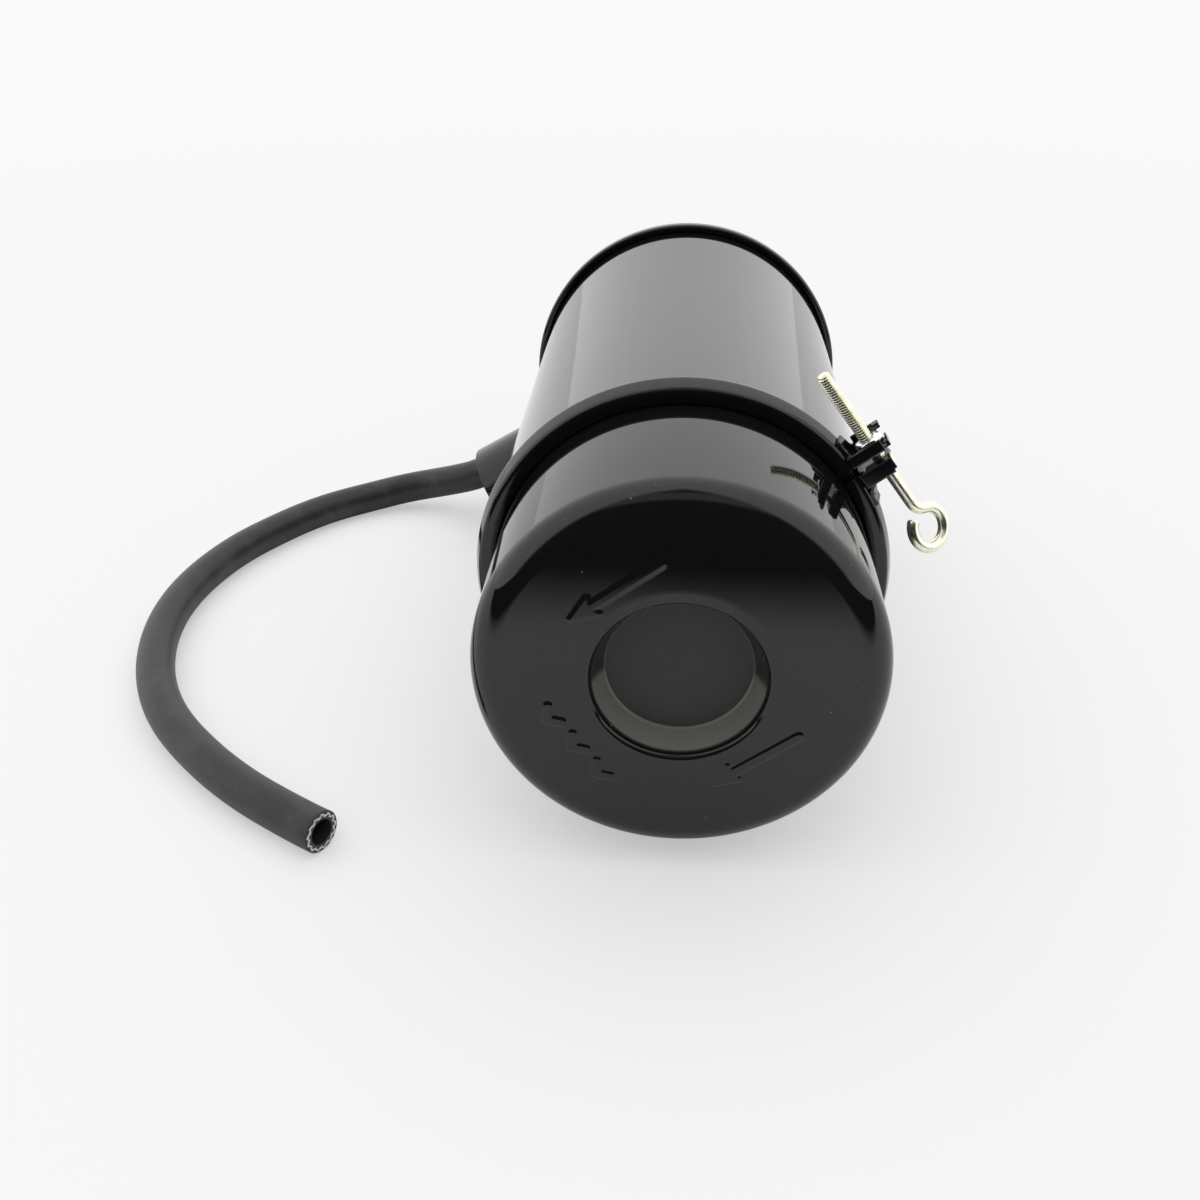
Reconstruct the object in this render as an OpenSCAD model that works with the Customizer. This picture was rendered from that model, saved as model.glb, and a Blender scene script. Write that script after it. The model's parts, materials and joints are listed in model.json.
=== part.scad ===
// Dry air cleaner canister with a clamped service cup, a round inlet and a loose hose.
// The canister's axis lies along Y, with its outlet at the origin and its cup towards -Y.

/* [Canister] */
// Length from the rear seam to the face of the cup
canister_len = 397; // [330:1:460]
// Outer diameter of the barrel
body_d = 193; // [180:1:215]
// Thickness of the barrel's sheet
body_wall = 1.5; // [1:0.1:2]
// How far the rear seam and the clamp stand out from the barrel
seam_h = 5; // [4.5:0.1:6]
// Thickness of the rear plate's sheet
head_t = 1.5; // [1:0.1:1.7]
// Depth of the rear plate's panel below its seam
head_recess = 7; // [4:0.5:8]

/* [Ports] */
// Outer diameter of the outlet tube
outlet_d = 76; // [66:1:80]
// Length of the outlet tube behind the rear seam
outlet_len = 35; // [20:1:60]
// Length of the outlet tube inside the rear plate
outlet_inner = 24; // [18:1:28]
// Outer diameter of the inlet tube
inlet_d = 60; // [50:1:62]
// Thickness of both tubes
port_wall = 1.5; // [1:0.1:2.5]
// How much narrower both tubes are behind their grips
port_step = 0.5; // [0.4:0.1:0.8]
// Distance from the seam to where both tubes' grips end
grip_gap = 3; // [1:0.5:6]
// Distance from the canister's axis to the inlet's mouth
inlet_reach = 148.5; // [125:0.5:148.5]
// Distance from the rear seam to the inlet's axis
inlet_back = 38.5; // [37:0.5:50]
// Angle of the inlet below the horizontal
inlet_angle = 30.5; // [20:0.5:30.5]

/* [Service cup] */
// How far the cup's wall lies inside the barrel's outer face
cup_step = 6.5; // [4:0.5:8]
// Thickness of the cup's sheet
cup_wall = 1.5; // [1:0.1:2]
// Distance from the cup's face to the rear of its hem
cup_len = 94; // [80:1:110]
// Radius of the rounded edge round the cup's face
cup_round = 12; // [8:0.5:16]
// Diameter of the recess at the cup's face
recess_d = 80; // [72:1:90]
// Diameter of the recess's floor
recess_floor_d = 65; // [56:1:68]
// Depth of the recess
recess_depth = 14.5; // [10:0.5:18]
// Height of the arrows pressed into the cup's face
arrow_h = 0.9; // [0.5:0.1:1.5]
// Angle below the horizontal that the arrows point to, which is up when installed
top_angle = 37; // [0:1:60]
// Length of each arrow
arrow_len = 45; // [30:1:48]
// Distance of each arrow from the centre of the face
arrow_offset = 51; // [48:1:56]

/* [Dust baffle] */
// Clearance between the baffle's skirt and the vane sleeve
baffle_gap = 2; // [1:0.1:4]
// Thickness of the baffle's sheet
baffle_t = 1; // [0.8:0.1:1.6]
// Length of the baffle's skirt
baffle_len = 56; // [40:1:62]
// Angle taken by the dust slot at the top of the baffle
slot_angle = 50; // [30:1:80]

/* [Joint and clamp] */
// Thickness of the hemmed edges of the cup and the barrel
hem_t = 3; // [2:0.1:4]
// Thickness of the gasket
gasket_t = 3; // [2:0.1:4]
// Thickness of the clamp band
clamp_t = 1.5; // [1:0.1:1.8]
// How much lower the band's front edge is than its rear edge
clamp_slope = 3.5; // [2.5:0.1:4]
// Gap between the ends of the band
clamp_gap = 4; // [2:0.5:8]
// Place of the clamp's ears round the canister, measured from the top
clamp_angle = 52.5; // [30:0.5:80]
// Clearance between the band and the hems
hem_fit = 0.25; // [0.1:0.05:0.5]
// Clearance round the cup and the barrel inside the band's lips
lip_fit = 0.6; // [0.4:0.1:1.2]

/* [Clamp ears and eye bolt] */
// Thickness of the ears' sheet
ear_t = 1.5; // [1.2:0.1:2.4]
// Width of the ears along the canister
ear_w = 20; // [17:0.5:24]
// Length of each ear's foot along the band
ear_foot = 24; // [16:1:34]
// Clearance between the ears' feet and the nut and the collar
bolt_under = 0.2; // [0.2:0.1:2]
// Diameter of the bolt's thread
bolt_d = 6.35; // [5:0.05:6.5]
// How far the thread's crests stand out from the bolt's wire
thread_h = 0.4; // [0.2:0.05:0.6]
// Length of the bolt from its tip to the middle of the gap
bolt_tip = 46; // [38:1:60]
// Distance from the middle of the gap to the centre of the eye
eye_reach = 46; // [40:1:60]
// Radius of the eye, to the middle of its wire
eye_r = 9.5; // [8:0.1:14]
// Turn of the eye round the bolt, from the canister's axis
eye_turn = 50; // [0:5:90]
// Angle that the end of the wire leaves open beside the shank
eye_gap = 12; // [5:1:60]
// Hexagon size of the nut, across its flats
nut_flats = 11.1; // [9:0.1:12]
// Height of the nut
nut_h = 5.6; // [4:0.1:7]
// Radial clearance of the bolt in the nut and the ears
bolt_fit = 0.15; // [0.1:0.05:0.4]
// Outer diameter of the collar on the bolt
collar_d = 11.5; // [9.5:0.1:12]
// Length of the collar on the bolt
collar_len = 4; // [2:0.1:5]
// Free length inside the bolt's ear
pocket_len = 8; // [6:0.1:10]

/* [Filter element] */
// Depth of the paper's pleats
pleat_w = 16.5; // [12:0.5:19]
// Thickness of the perforated liners
liner_t = 1; // [0.6:0.1:1.4]
// Thickness of the end caps' sheet
cap_t = 1.2; // [0.8:0.1:1.6]
// Length of the end caps' rims
cap_rim = 10; // [6:1:12]
// Thickness of the rubber pad between the cup and the element
pad_t = 5; // [3:0.5:8]
// Clearance in front of the element, and round its seal
seal_fit = 0.1; // [0.05:0.05:0.3]
// Space between the rear plate and the element
element_back = 3; // [2:0.5:5]
// Thickness of the seal ring
seal_w = 6; // [4:0.5:8]
// Length of the seal ring
seal_len = 13; // [9:1:14]

/* [Vane sleeve] */
// Length of the sleeve from the rear end of the element
sleeve_len = 86; // [78:1:100]
// Thickness of the sleeve and of its vanes
sleeve_t = 1.8; // [1.2:0.1:2.4]
// Clearance between the vanes and the barrel
vane_gap = 7; // [5:0.5:18]
// Length of the vanes along the canister
vane_len = 20; // [12:1:26]
// Number of vanes
vane_count = 12; // [8:1:16]
// Slant of the vanes from the canister's axis
vane_slant = 35; // [20:1:45]

/* [Hose] */
// Outer diameter of the hose
hose_d = 21; // [18:0.5:21]
// Bore of the hose
hose_bore = 13; // [10:0.5:15]

/* [Hidden] */
$fn = 96;

enamel = "#17181a";
zinc = "#c9c8bd";
rubber = "#242426";

// a cut reaches this far past the faces it goes through
past = 1;

// Radii
body_r = body_d / 2;
barrel_r = body_r - body_wall;
rest_r = body_r + seam_h;
cup_r = body_r - cup_step;
outlet_r = outlet_d / 2;
inlet_r = inlet_d / 2;

// The hoses grip each tube from its mouth to just outside the seam
outlet_grip = outlet_len - grip_gap;
inlet_grip = inlet_reach - rest_r - grip_gap;
neck_r = outlet_r - port_step;

// Places along the canister, from the outlet's mouth towards the cup
head_z = outlet_len;
seam_z = head_z + 2 * head_t + body_wall + 2 * hem_fit;
panel_z = head_z + head_recess;
face_z = head_z + canister_len;
cup_hem_z = face_z - cup_len;
body_hem_z = cup_hem_z - gasket_t - hem_t;
inlet_z = head_z + inlet_back;

// The clamp band reaches round both hems and the gasket
band_z0 = body_hem_z - hem_fit - clamp_t;
band_z1 = cup_hem_z + hem_t + hem_fit + clamp_t;
band_mid_z = (band_z0 + band_z1) / 2;
band_front_r = rest_r - clamp_slope;
function band_inside(z) = rest_r - clamp_t - clamp_slope * (z - band_z0) / (band_z1 - band_z0);
body_hem_r = band_inside(body_hem_z + hem_t) - lip_fit;
cup_hem_r = band_inside(cup_hem_z + hem_t) - lip_fit;

// The ears and the bolt
bolt_r = bolt_d / 2;
wire_r = bolt_r - thread_h;
nut_r = nut_flats / 2 / cos(30);
bolt_room = max(nut_r, collar_d / 2) + bolt_under;
bolt_y = rest_r + ear_t + bolt_room;
ear_top = bolt_y + bolt_room + ear_t;

// The filter element
element_z0 = panel_z + head_t + element_back;
element_z1 = face_z - recess_depth - cup_wall - pad_t - seal_fit;
seal_r = neck_r + seal_fit;
hub_r = seal_r + seal_w;
bore_r = hub_r + cap_t + liner_t;
media_r = bore_r + pleat_w;
cap_r = media_r + liner_t + cap_t;
sleeve_r = cap_r + seal_fit;
sleeve_out = sleeve_r + sleeve_t;
skirt_r = sleeve_out + baffle_gap;

// The hose starts inside the inlet, drops to the floor and swings round to the front
hose_points = [
    [-96, -68.5, -41.5], [-117.5, -68, -54], [-141.5, -66.5, -68], [-158, -61.5, -75],
    [-176, -55.5, -81.5], [-199, -54, -87], [-221, -63, -90], [-242, -78, -90.5],
    [-260, -97, -90.5], [-276, -121, -90.5], [-290, -146, -90.5], [-300, -174, -90.5],
    [-306, -204, -90.5], [-307, -234, -90.5], [-303, -265, -90.5], [-294, -296, -90.5],
    [-281, -324, -90.5], [-265, -348, -90.5], [-247, -368, -90.5], [-228, -386, -90.5],
    [-208, -402, -90.5], [-190, -414, -90.5], [-172, -425, -90.5], [-163, -430, -90.5],
];

// Turns a piece drawn along +Z so that it lies along the canister
module lengthwise() {
    rotate([90, 0, 0]) children();
}

module turned() {
    lengthwise() rotate_extrude() children();
}

// A ring's section: inner radius, outer radius, start and end along the canister
module band_2d(r0, r1, z0, z1) {
    translate([r0, z0]) square([r1 - r0, z1 - z0]);
}

module ring(r0, r1, z0, z1) {
    turned() band_2d(r0, r1, z0, z1);
}

// Puts X along the bolt, Y outwards and Z towards the cup, in the middle of the clamp
module at_clamp() {
    lengthwise() translate([0, 0, band_mid_z]) rotate([0, 0, -clamp_angle]) children();
}

// Puts Z along the inlet, outwards from the canister's axis
module at_inlet() {
    lengthwise() translate([0, 0, inlet_z]) rotate([0, 0, 180 + inlet_angle]) rotate([0, 90, 0])
        children();
}

module body_shell() color(enamel) {
    difference() {
        turned() {
            band_2d(barrel_r, body_r, head_z + head_t, body_hem_z + hem_t);
            band_2d(barrel_r, body_hem_r, body_hem_z, body_hem_z + hem_t);
            band_2d(barrel_r, rest_r - head_t - hem_fit, head_z + head_t, head_z + head_t + body_wall);
        }
        at_inlet() cylinder(r = inlet_r - port_wall, h = inlet_reach);
    }
}

// The rear plate's panel lies below its seam, which is curled over the barrel's rear flange
module rear_head() color(enamel) turned() {
    lip_r = body_r + lip_fit;
    fold_r = rest_r - head_t;
    slope = head_recess / 3;
    polygon([
        [lip_r, seam_z], [rest_r, seam_z], [rest_r, head_z], [barrel_r - head_t, head_z],
        [barrel_r - head_t - slope, panel_z], [neck_r, panel_z],
        [neck_r, panel_z + head_t], [barrel_r - slope, panel_z + head_t],
        [barrel_r - head_t / 2, head_z + head_t], [fold_r, head_z + head_t],
        [fold_r, seam_z - head_t], [lip_r, seam_z - head_t],
    ]);
}

module outlet_tube() color(enamel) turned() {
    band_2d(outlet_r - port_wall, outlet_r, 0, outlet_grip);
    band_2d(outlet_r - port_wall, neck_r, 0, panel_z + head_t + outlet_inner);
}

module inlet_tube() color(enamel) difference() {
    at_inlet() difference() {
        union() {
            cylinder(r = inlet_r - port_step, h = inlet_reach);
            translate([0, 0, inlet_reach - inlet_grip]) cylinder(r = inlet_r, h = inlet_grip);
        }
        translate([0, 0, -past]) cylinder(r = inlet_r - port_wall, h = inlet_reach + 2 * past);
    }
    lengthwise() cylinder(r = body_r, h = inlet_z + body_r, $fn = 180);
}

module joint_gasket() color(rubber)
    ring(cup_r + lip_fit, cup_hem_r - lip_fit, body_hem_z + hem_t, cup_hem_z);

// A channel round both hems, open towards the canister and cut through at the ears
module clamp_band() color(enamel) {
    rear_lip_r = body_r + lip_fit;
    front_lip_r = cup_r + lip_fit;
    difference() {
        turned() polygon([
            [rear_lip_r, band_z0], [rest_r, band_z0],
            [band_front_r, band_z1], [front_lip_r, band_z1],
            [front_lip_r, band_z1 - clamp_t], [band_front_r - clamp_t, band_z1 - clamp_t],
            [rest_r - clamp_t, band_z0 + clamp_t], [rear_lip_r, band_z0 + clamp_t],
        ]);
        at_clamp() translate([-clamp_gap / 2, 0, -ear_w])
            cube([clamp_gap, rest_r + past, 2 * ear_w]);
    }
}

// A foot that follows the band and narrows away from the gap
module ear_foot_plate() {
    intersection() {
        difference() {
            cylinder(r = rest_r + ear_t, h = ear_w, center = true);
            cylinder(r = rest_r, h = ear_w + past, center = true);
        }
        rotate([-90, 0, 0]) linear_extrude(rest_r + 2 * ear_t) polygon([
            [clamp_gap / 2, -ear_w / 2], [clamp_gap / 2, ear_w / 2],
            [clamp_gap / 2 + ear_foot, ear_w / 4], [clamp_gap / 2 + ear_foot, -ear_w / 4],
        ]);
    }
}

// A wall across the bolt, from the foot to the ear's top, with a hole for the bolt
module ear_wall(x) {
    base_y = rest_r * cos(asin(x / rest_r)) - clamp_t / 2;
    difference() {
        translate([x, base_y, -ear_w / 2]) cube([ear_t, ear_top - base_y, ear_w]);
        translate([x - past, bolt_y, 0]) rotate([0, 90, 0])
            cylinder(r = bolt_r + 2 * bolt_fit, h = ear_t + 2 * past);
    }
}

// Side walls along the bolt, from the gap to x, with the given space between them
module ear_sides(x, space) {
    base_y = sqrt(rest_r * rest_r - x * x) + ear_t / 2;
    for (side = [-1, 1])
        translate([clamp_gap / 2, base_y, side * (space + ear_t) / 2 - ear_t / 2])
            cube([x - clamp_gap / 2, ear_top - base_y, ear_t]);
}

// Takes the band's outline out of an ear, so that the ear stands on the band
module clear_of_band() {
    difference() {
        children();
        cylinder(r = rest_r, h = 2 * ear_w, center = true);
    }
}

module nut_ear() color(enamel) at_clamp() mirror([1, 0, 0]) clear_of_band() {
    wall_x = clamp_gap / 2;
    nut_x = wall_x + ear_t + nut_h;
    ear_foot_plate();
    ear_wall(wall_x);
    ear_sides(nut_x, nut_flats + 2 * bolt_fit);
    translate([wall_x, ear_top - ear_t, -ear_w / 4]) cube([ear_t + nut_h / 2, ear_t, ear_w / 2]);
}

module clamp_nut() color(zinc) at_clamp()
    translate([-clamp_gap / 2 - ear_t, bolt_y, 0]) rotate([0, -90, 0]) difference() {
        rotate([0, 0, 30]) cylinder(r = nut_r, h = nut_h, $fn = 6);
        translate([0, 0, -past]) cylinder(r = bolt_r + bolt_fit, h = nut_h + 2 * past);
    }

module bolt_ear() color(enamel) at_clamp() clear_of_band() {
    front_x = clamp_gap / 2 + ear_t + pocket_len;
    ear_foot_plate();
    ear_wall(clamp_gap / 2);
    ear_wall(front_x);
    ear_sides(front_x + ear_t, ear_w - 2 * ear_t);
}

// A wire with a thread from its tip to the collar and a nearly closed eye at its other end
module eye_bolt() color(zinc) at_clamp() translate([0, bolt_y, 0]) {
    chamfer = bolt_d / 8;
    lead = asin(wire_r / eye_r);
    thread_end = clamp_gap / 2 + ear_t;
    shank_end = eye_reach - eye_r - wire_r / 3;
    rotate([0, 90, 0]) {
        translate([0, 0, chamfer / 2 - bolt_tip])
            cylinder(r = bolt_r, h = bolt_tip - chamfer / 2 + thread_end);
        translate([0, 0, -bolt_tip]) cylinder(r1 = bolt_r - chamfer, r2 = bolt_r, h = chamfer);
        cylinder(r = wire_r, h = shank_end);
    }
    translate([eye_reach, 0, 0]) rotate([eye_turn + 90, 0, 0]) rotate([0, 0, 180 - lead])
        rotate_extrude(angle = 360 - 2 * lead - eye_gap) translate([eye_r, 0])
            circle(r = wire_r, $fn = 48);
}

module bolt_collar() color(zinc) at_clamp()
    translate([clamp_gap / 2 + ear_t, bolt_y, 0]) rotate([0, 90, 0]) difference() {
        cylinder(d = collar_d, h = collar_len);
        translate([0, 0, -past]) cylinder(r = wire_r, h = collar_len + 2 * past);
    }

// The section of a round box with a rounded front edge
module cup_2d(r, z1, rounding) {
    band_2d(0, r - rounding, cup_hem_z, z1);
    band_2d(0, r, cup_hem_z, z1 - rounding);
    translate([r - rounding, z1 - rounding]) circle(r = rounding);
}

// The section of the recess, made larger by grow on its inner side
module recess_2d(grow) {
    mouth_r = recess_d / 2;
    floor_r = recess_floor_d / 2;
    side = grow * sqrt(1 + pow((mouth_r - floor_r) / recess_depth, 2));
    rise = (mouth_r - floor_r) / recess_depth;
    polygon([
        [0, face_z + past], [mouth_r + side + rise * past, face_z + past],
        [floor_r + side - rise * grow, face_z - recess_depth - grow],
        [0, face_z - recess_depth - grow],
    ]);
}

// An arrow along +X, centred on the origin
module arrow() {
    shaft_w = arrow_len / 12;
    head_l = arrow_len / 4;
    translate([-arrow_len / 2, -shaft_w / 2, 0])
        cube([arrow_len - head_l, shaft_w, cup_wall + arrow_h]);
    translate([arrow_len / 2, 0, 0]) linear_extrude(cup_wall + arrow_h)
        polygon([[0, 0], [-head_l, -head_l / 3], [-head_l * 0.8, 0], [-head_l, head_l / 3]]);
}

module dust_cup() color(enamel) {
    turned() {
        difference() {
            cup_2d(cup_r, face_z, cup_round);
            difference() {
                cup_2d(cup_r - cup_wall, face_z - cup_wall, cup_round - cup_wall);
                recess_2d(cup_wall);
            }
            recess_2d(0);
        }
        band_2d(cup_r - cup_wall, cup_hem_r, cup_hem_z, cup_hem_z + hem_t);
    }
    lengthwise() for (side = [-1, 1])
        rotate([0, 0, 180 + top_angle]) translate([-4, side * arrow_offset, face_z - cup_wall])
            arrow();
}

// An open skirt on a flange inside the cup, with a slot for the dust at its top
module cup_baffle() color(enamel) {
    flange_z = cup_hem_z + hem_t;
    difference() {
        turned() {
            band_2d(skirt_r, cup_r - cup_wall, flange_z, flange_z + baffle_t);
            band_2d(skirt_r, skirt_r + baffle_t, flange_z, flange_z + baffle_len);
        }
        lengthwise() rotate([0, 0, 180 + top_angle - slot_angle / 2])
            translate([0, 0, flange_z - past]) rotate_extrude(angle = slot_angle)
                translate([skirt_r + 2 * baffle_t, 0])
                    square([cup_r - cup_wall - skirt_r - 5 * baffle_t, baffle_t + 2 * past]);
    }
}

module cup_pad() color(rubber)
    ring(0, recess_floor_d / 2 - cup_wall, element_z1 + seal_fit, element_z1 + seal_fit + pad_t);

module outer_liner() color("#8d8f90")
    ring(media_r, media_r + liner_t, element_z0 + cap_t, element_z1 - cap_t);

module paper_media() color("#c9b98a")
    ring(bore_r, media_r, element_z0 + cap_t, element_z1 - cap_t);

module inner_liner() color("#8d8f90")
    ring(bore_r - liner_t, bore_r, element_z0 + cap_t, element_z1 - cap_t);

module open_cap() color("#8d8f90") turned() {
    band_2d(hub_r, cap_r, element_z0, element_z0 + cap_t);
    band_2d(cap_r - cap_t, cap_r, element_z0, element_z0 + cap_rim);
    band_2d(hub_r, hub_r + cap_t, element_z0, element_z0 + seal_len);
}

module closed_cap() color("#8d8f90") turned() {
    band_2d(0, cap_r, element_z1 - cap_t, element_z1);
    band_2d(cap_r - cap_t, cap_r, element_z1 - cap_rim, element_z1);
}

module element_seal() color(rubber)
    ring(seal_r, hub_r, element_z0, element_z0 + seal_len);

// A sleeve round the rear of the element, with slanted vanes that spin the air
module vane_sleeve() color("#2a2c2f") {
    vane_r = barrel_r - vane_gap;
    vane_z = element_z0 + sleeve_len - vane_len;
    ring(sleeve_r, sleeve_out, element_z0, element_z0 + sleeve_len);
    lengthwise() intersection() {
        difference() {
            translate([0, 0, vane_z]) cylinder(r = vane_r, h = vane_len);
            translate([0, 0, vane_z - past])
                cylinder(r = sleeve_out - sleeve_t / 4, h = vane_len + 2 * past);
        }
        for (n = [0 : vane_count - 1])
            rotate([0, 0, n * 360 / vane_count]) translate([vane_r / 2, 0, vane_z + vane_len / 2])
                rotate([vane_slant, 0, 0]) cube([vane_r + past, sleeve_t, 2 * vane_len], center = true);
    }
}

// The direction of the route at point n
function heading(p, n) =
    let (d = p[min(n + 1, len(p) - 1)] - p[max(n - 1, 0)]) d / norm(d);

// A ring of points round point n of the route
function hose_ring(p, n, r, sides) =
    let (
        along = heading(p, n),
        side = cross(along, [0, 0, 1]) / norm(cross(along, [0, 0, 1])),
        up = cross(side, along)
    )
    [for (k = [0 : sides - 1]) p[n] + r * (cos(k * 360 / sides) * side + sin(k * 360 / sides) * up)];

// Two triangles for each side between ring a and ring b
function skin(a, b, sides) = [
    for (k = [0 : sides - 1]) let (j = (k + 1) % sides)
        each [[a + k, a + j, b + j], [a + k, b + j, b + k]],
];

// A hollow tube along the route: the outer rings come first, then the inner ones
module air_hose() color(rubber) {
    sides = 12;
    count = len(hose_points);
    inner = count * sides;
    last = (count - 1) * sides;
    polyhedron(
        points = [
            for (r = [hose_d / 2, hose_bore / 2], n = [0 : count - 1])
                each hose_ring(hose_points, n, r, sides)
        ],
        faces = [
            for (n = [0 : count - 2]) each skin(n * sides, (n + 1) * sides, sides),
            for (n = [0 : count - 2]) each skin(inner + (n + 1) * sides, inner + n * sides, sides),
            each skin(inner, 0, sides),
            each skin(last, inner + last, sides),
        ]
    );
}

body_shell();
rear_head();
outlet_tube();
inlet_tube();
joint_gasket();
clamp_band();
nut_ear();
clamp_nut();
bolt_ear();
eye_bolt();
bolt_collar();
dust_cup();
cup_baffle();
cup_pad();
outer_liner();
paper_media();
inner_liner();
open_cap();
closed_cap();
element_seal();
vane_sleeve();
air_hose();
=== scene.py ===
import itertools
import json
import math

import bmesh
import bpy
import numpy as np
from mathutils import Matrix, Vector


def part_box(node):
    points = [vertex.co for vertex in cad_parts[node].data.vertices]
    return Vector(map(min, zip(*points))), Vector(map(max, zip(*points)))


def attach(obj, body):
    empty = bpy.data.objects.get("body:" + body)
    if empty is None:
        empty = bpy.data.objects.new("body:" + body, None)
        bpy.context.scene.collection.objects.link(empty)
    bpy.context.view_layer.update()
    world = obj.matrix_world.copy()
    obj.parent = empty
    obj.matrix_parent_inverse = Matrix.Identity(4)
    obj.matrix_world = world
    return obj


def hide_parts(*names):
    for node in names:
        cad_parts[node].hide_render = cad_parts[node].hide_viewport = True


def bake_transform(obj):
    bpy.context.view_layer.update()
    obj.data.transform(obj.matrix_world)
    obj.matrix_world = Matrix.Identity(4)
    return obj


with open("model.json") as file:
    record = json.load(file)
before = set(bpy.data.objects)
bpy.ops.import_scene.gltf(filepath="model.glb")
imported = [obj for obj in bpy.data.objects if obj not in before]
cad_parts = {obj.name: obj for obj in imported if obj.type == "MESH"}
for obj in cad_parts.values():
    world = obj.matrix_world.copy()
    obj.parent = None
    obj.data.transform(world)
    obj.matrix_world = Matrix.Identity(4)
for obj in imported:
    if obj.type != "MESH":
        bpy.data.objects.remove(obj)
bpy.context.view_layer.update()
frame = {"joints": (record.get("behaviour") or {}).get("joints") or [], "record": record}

scene = bpy.context.scene
scene.view_settings.view_transform = "Standard"
mm = 0.001  # sizes are in millimetres until a mesh is made


def boxOf(name):
    low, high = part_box(name)
    return low / mm, high / mm


def named(items, name):
    return next(item for item in items if item["name"] == name)


# where the canister's main faces lie, from the solids
headLow, headHigh = boxOf("rear_head")
seamRear, seamFront, seamRadius = headHigh.y, headLow.y, headHigh.x
hemFront, hemRear = (corner.y for corner in boxOf("joint_gasket"))
bandFront, bandRear = (corner.y for corner in boxOf("clamp_band"))
floorHeight = -seamRadius

# the clamp's own directions: along its bolt, outwards, and forwards to the cup
boltJoint = named(frame["joints"], "eye_bolt_turn")
along = Vector(boltJoint["axis"]).normalized()
forward = Vector((0, -1, 0))
outward = forward.cross(along)
boltPoint = Vector(boltJoint["pos_m"]) / mm
boltHeight = boltPoint.dot(outward)

camera = {"place": (-0.0047, -0.8655, 0.2865), "tilt": 60.38, "turn": 3.76, "lens": 37.0, "film": 36.0}


def makeCamera():
    data = bpy.data.cameras.new("camera")
    data.lens = camera["lens"]
    data.sensor_width = camera["film"]
    data.clip_start = 0.01
    obj = bpy.data.objects.new("camera", data)
    obj.location = camera["place"]
    obj.rotation_euler = (math.radians(camera["tilt"]), 0, math.radians(camera["turn"]))
    scene.collection.objects.link(obj)
    scene.camera = obj
    print("camera placed")


makeCamera()


# shader nodes, materials and groups


def addNode(tree, kind, inputs=None, **settings):
    made = tree.nodes.new(kind)
    for key, value in settings.items():
        setattr(made, key, value)
    for key, value in (inputs or {}).items():
        if isinstance(value, bpy.types.NodeSocket):
            tree.links.new(value, made.inputs[key])
        else:
            made.inputs[key].default_value = value
    return made


def clearTree(owner):
    owner.use_nodes = True
    owner.node_tree.nodes.clear()
    return owner.node_tree


def maths(tree, operation, first, second=0.5):
    return addNode(tree, "ShaderNodeMath", {0: first, 1: second}, operation=operation).outputs[0]


def plus(tree, first, second):
    return maths(tree, "ADD", first, second)


def times(tree, first, *more):
    for value in more:
        first = maths(tree, "MULTIPLY", first, value)
    return first


def partsOf(tree, vector):
    return addNode(tree, "ShaderNodeSeparateXYZ", {0: vector}).outputs


def rangeOf(tree, value, low, high, start=0.0, end=1.0):
    inputs = {"Value": value, "From Min": low, "From Max": high, "To Min": start, "To Max": end}
    return addNode(tree, "ShaderNodeMapRange", inputs, interpolation_type="SMOOTHSTEP").outputs[0]


def newSocket(tree, label, kind, value=None, way="INPUT"):
    made = tree.interface.new_socket(label, in_out=way, socket_type="NodeSocket" + kind)
    if value is not None:
        made.default_value = value


def newGroup(name, output, **inputs):
    # a shader group that takes a place and named numbers, and gives one value
    tree = bpy.data.node_groups.new(name, "ShaderNodeTree")
    newSocket(tree, "Vector", "Vector")
    for label, value in inputs.items():
        newSocket(tree, label, "Float", value)
    newSocket(tree, output, "Float", way="OUTPUT")
    return tree, tree.nodes.new("NodeGroupInput").outputs, tree.nodes.new("NodeGroupOutput").inputs[0]


enamelLook = {
    "color": (0.0055, 0.0055, 0.006), "roughness": 0.035, "dust": (0.09, 0.09, 0.085), "dustShare": 0.012,
    "sheetScale": 26.0, "sheetHeight": 0.06 * mm, "paintScale": 420.0, "paintHeight": 0.0012 * mm,
}


def noiseOf(tree, vector, scale, detail=2.0, roughness=0.5):
    inputs = {"Vector": vector, "Scale": scale, "Detail": detail, "Roughness": roughness}
    return addNode(tree, "ShaderNodeTexNoise", inputs).outputs[0]


def makeRippleGroup():
    # the long waves of pressed sheet under the short ones of sprayed paint
    look = enamelLook
    tree, given, out = newGroup("paintRipple", "Height", Sheet=1.0)
    sheetWave = noiseOf(tree, given["Vector"], look["sheetScale"], 1.0)
    paintWave = noiseOf(tree, given["Vector"], look["paintScale"], 2.0)
    tree.links.new(plus(tree, times(tree, sheetWave, given["Sheet"], look["sheetHeight"]),
                        times(tree, paintWave, look["paintHeight"])), out)
    return tree


def makeSpeckGroup():
    # small grains of dust, few and of many sizes
    tree, given, out = newGroup("dustSpecks", "Mask", Scale=600.0, Share=0.1, Size=0.2)
    cells = addNode(tree, "ShaderNodeTexVoronoi", {"Vector": given["Vector"], "Scale": given["Scale"]})
    chosen = addNode(tree, "ShaderNodeSeparateColor", {0: cells.outputs["Color"]}).outputs
    kept = maths(tree, "LESS_THAN", chosen[0], given["Share"])
    size = times(tree, given["Size"], plus(tree, chosen[1], 0.4))
    near = maths(tree, "LESS_THAN", cells.outputs["Distance"], size)
    tree.links.new(times(tree, kept, near), out)
    return tree


def makeScuffGroup():
    # soft cloudy patches where a surface has been handled
    tree, given, out = newGroup("handledPatches", "Mask", Scale=40.0, Low=0.45, High=0.7)
    cloud = noiseOf(tree, given["Vector"], given["Scale"], 6.0, 0.62)
    tree.links.new(rangeOf(tree, cloud, given["Low"], given["High"]), out)
    return tree


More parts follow.
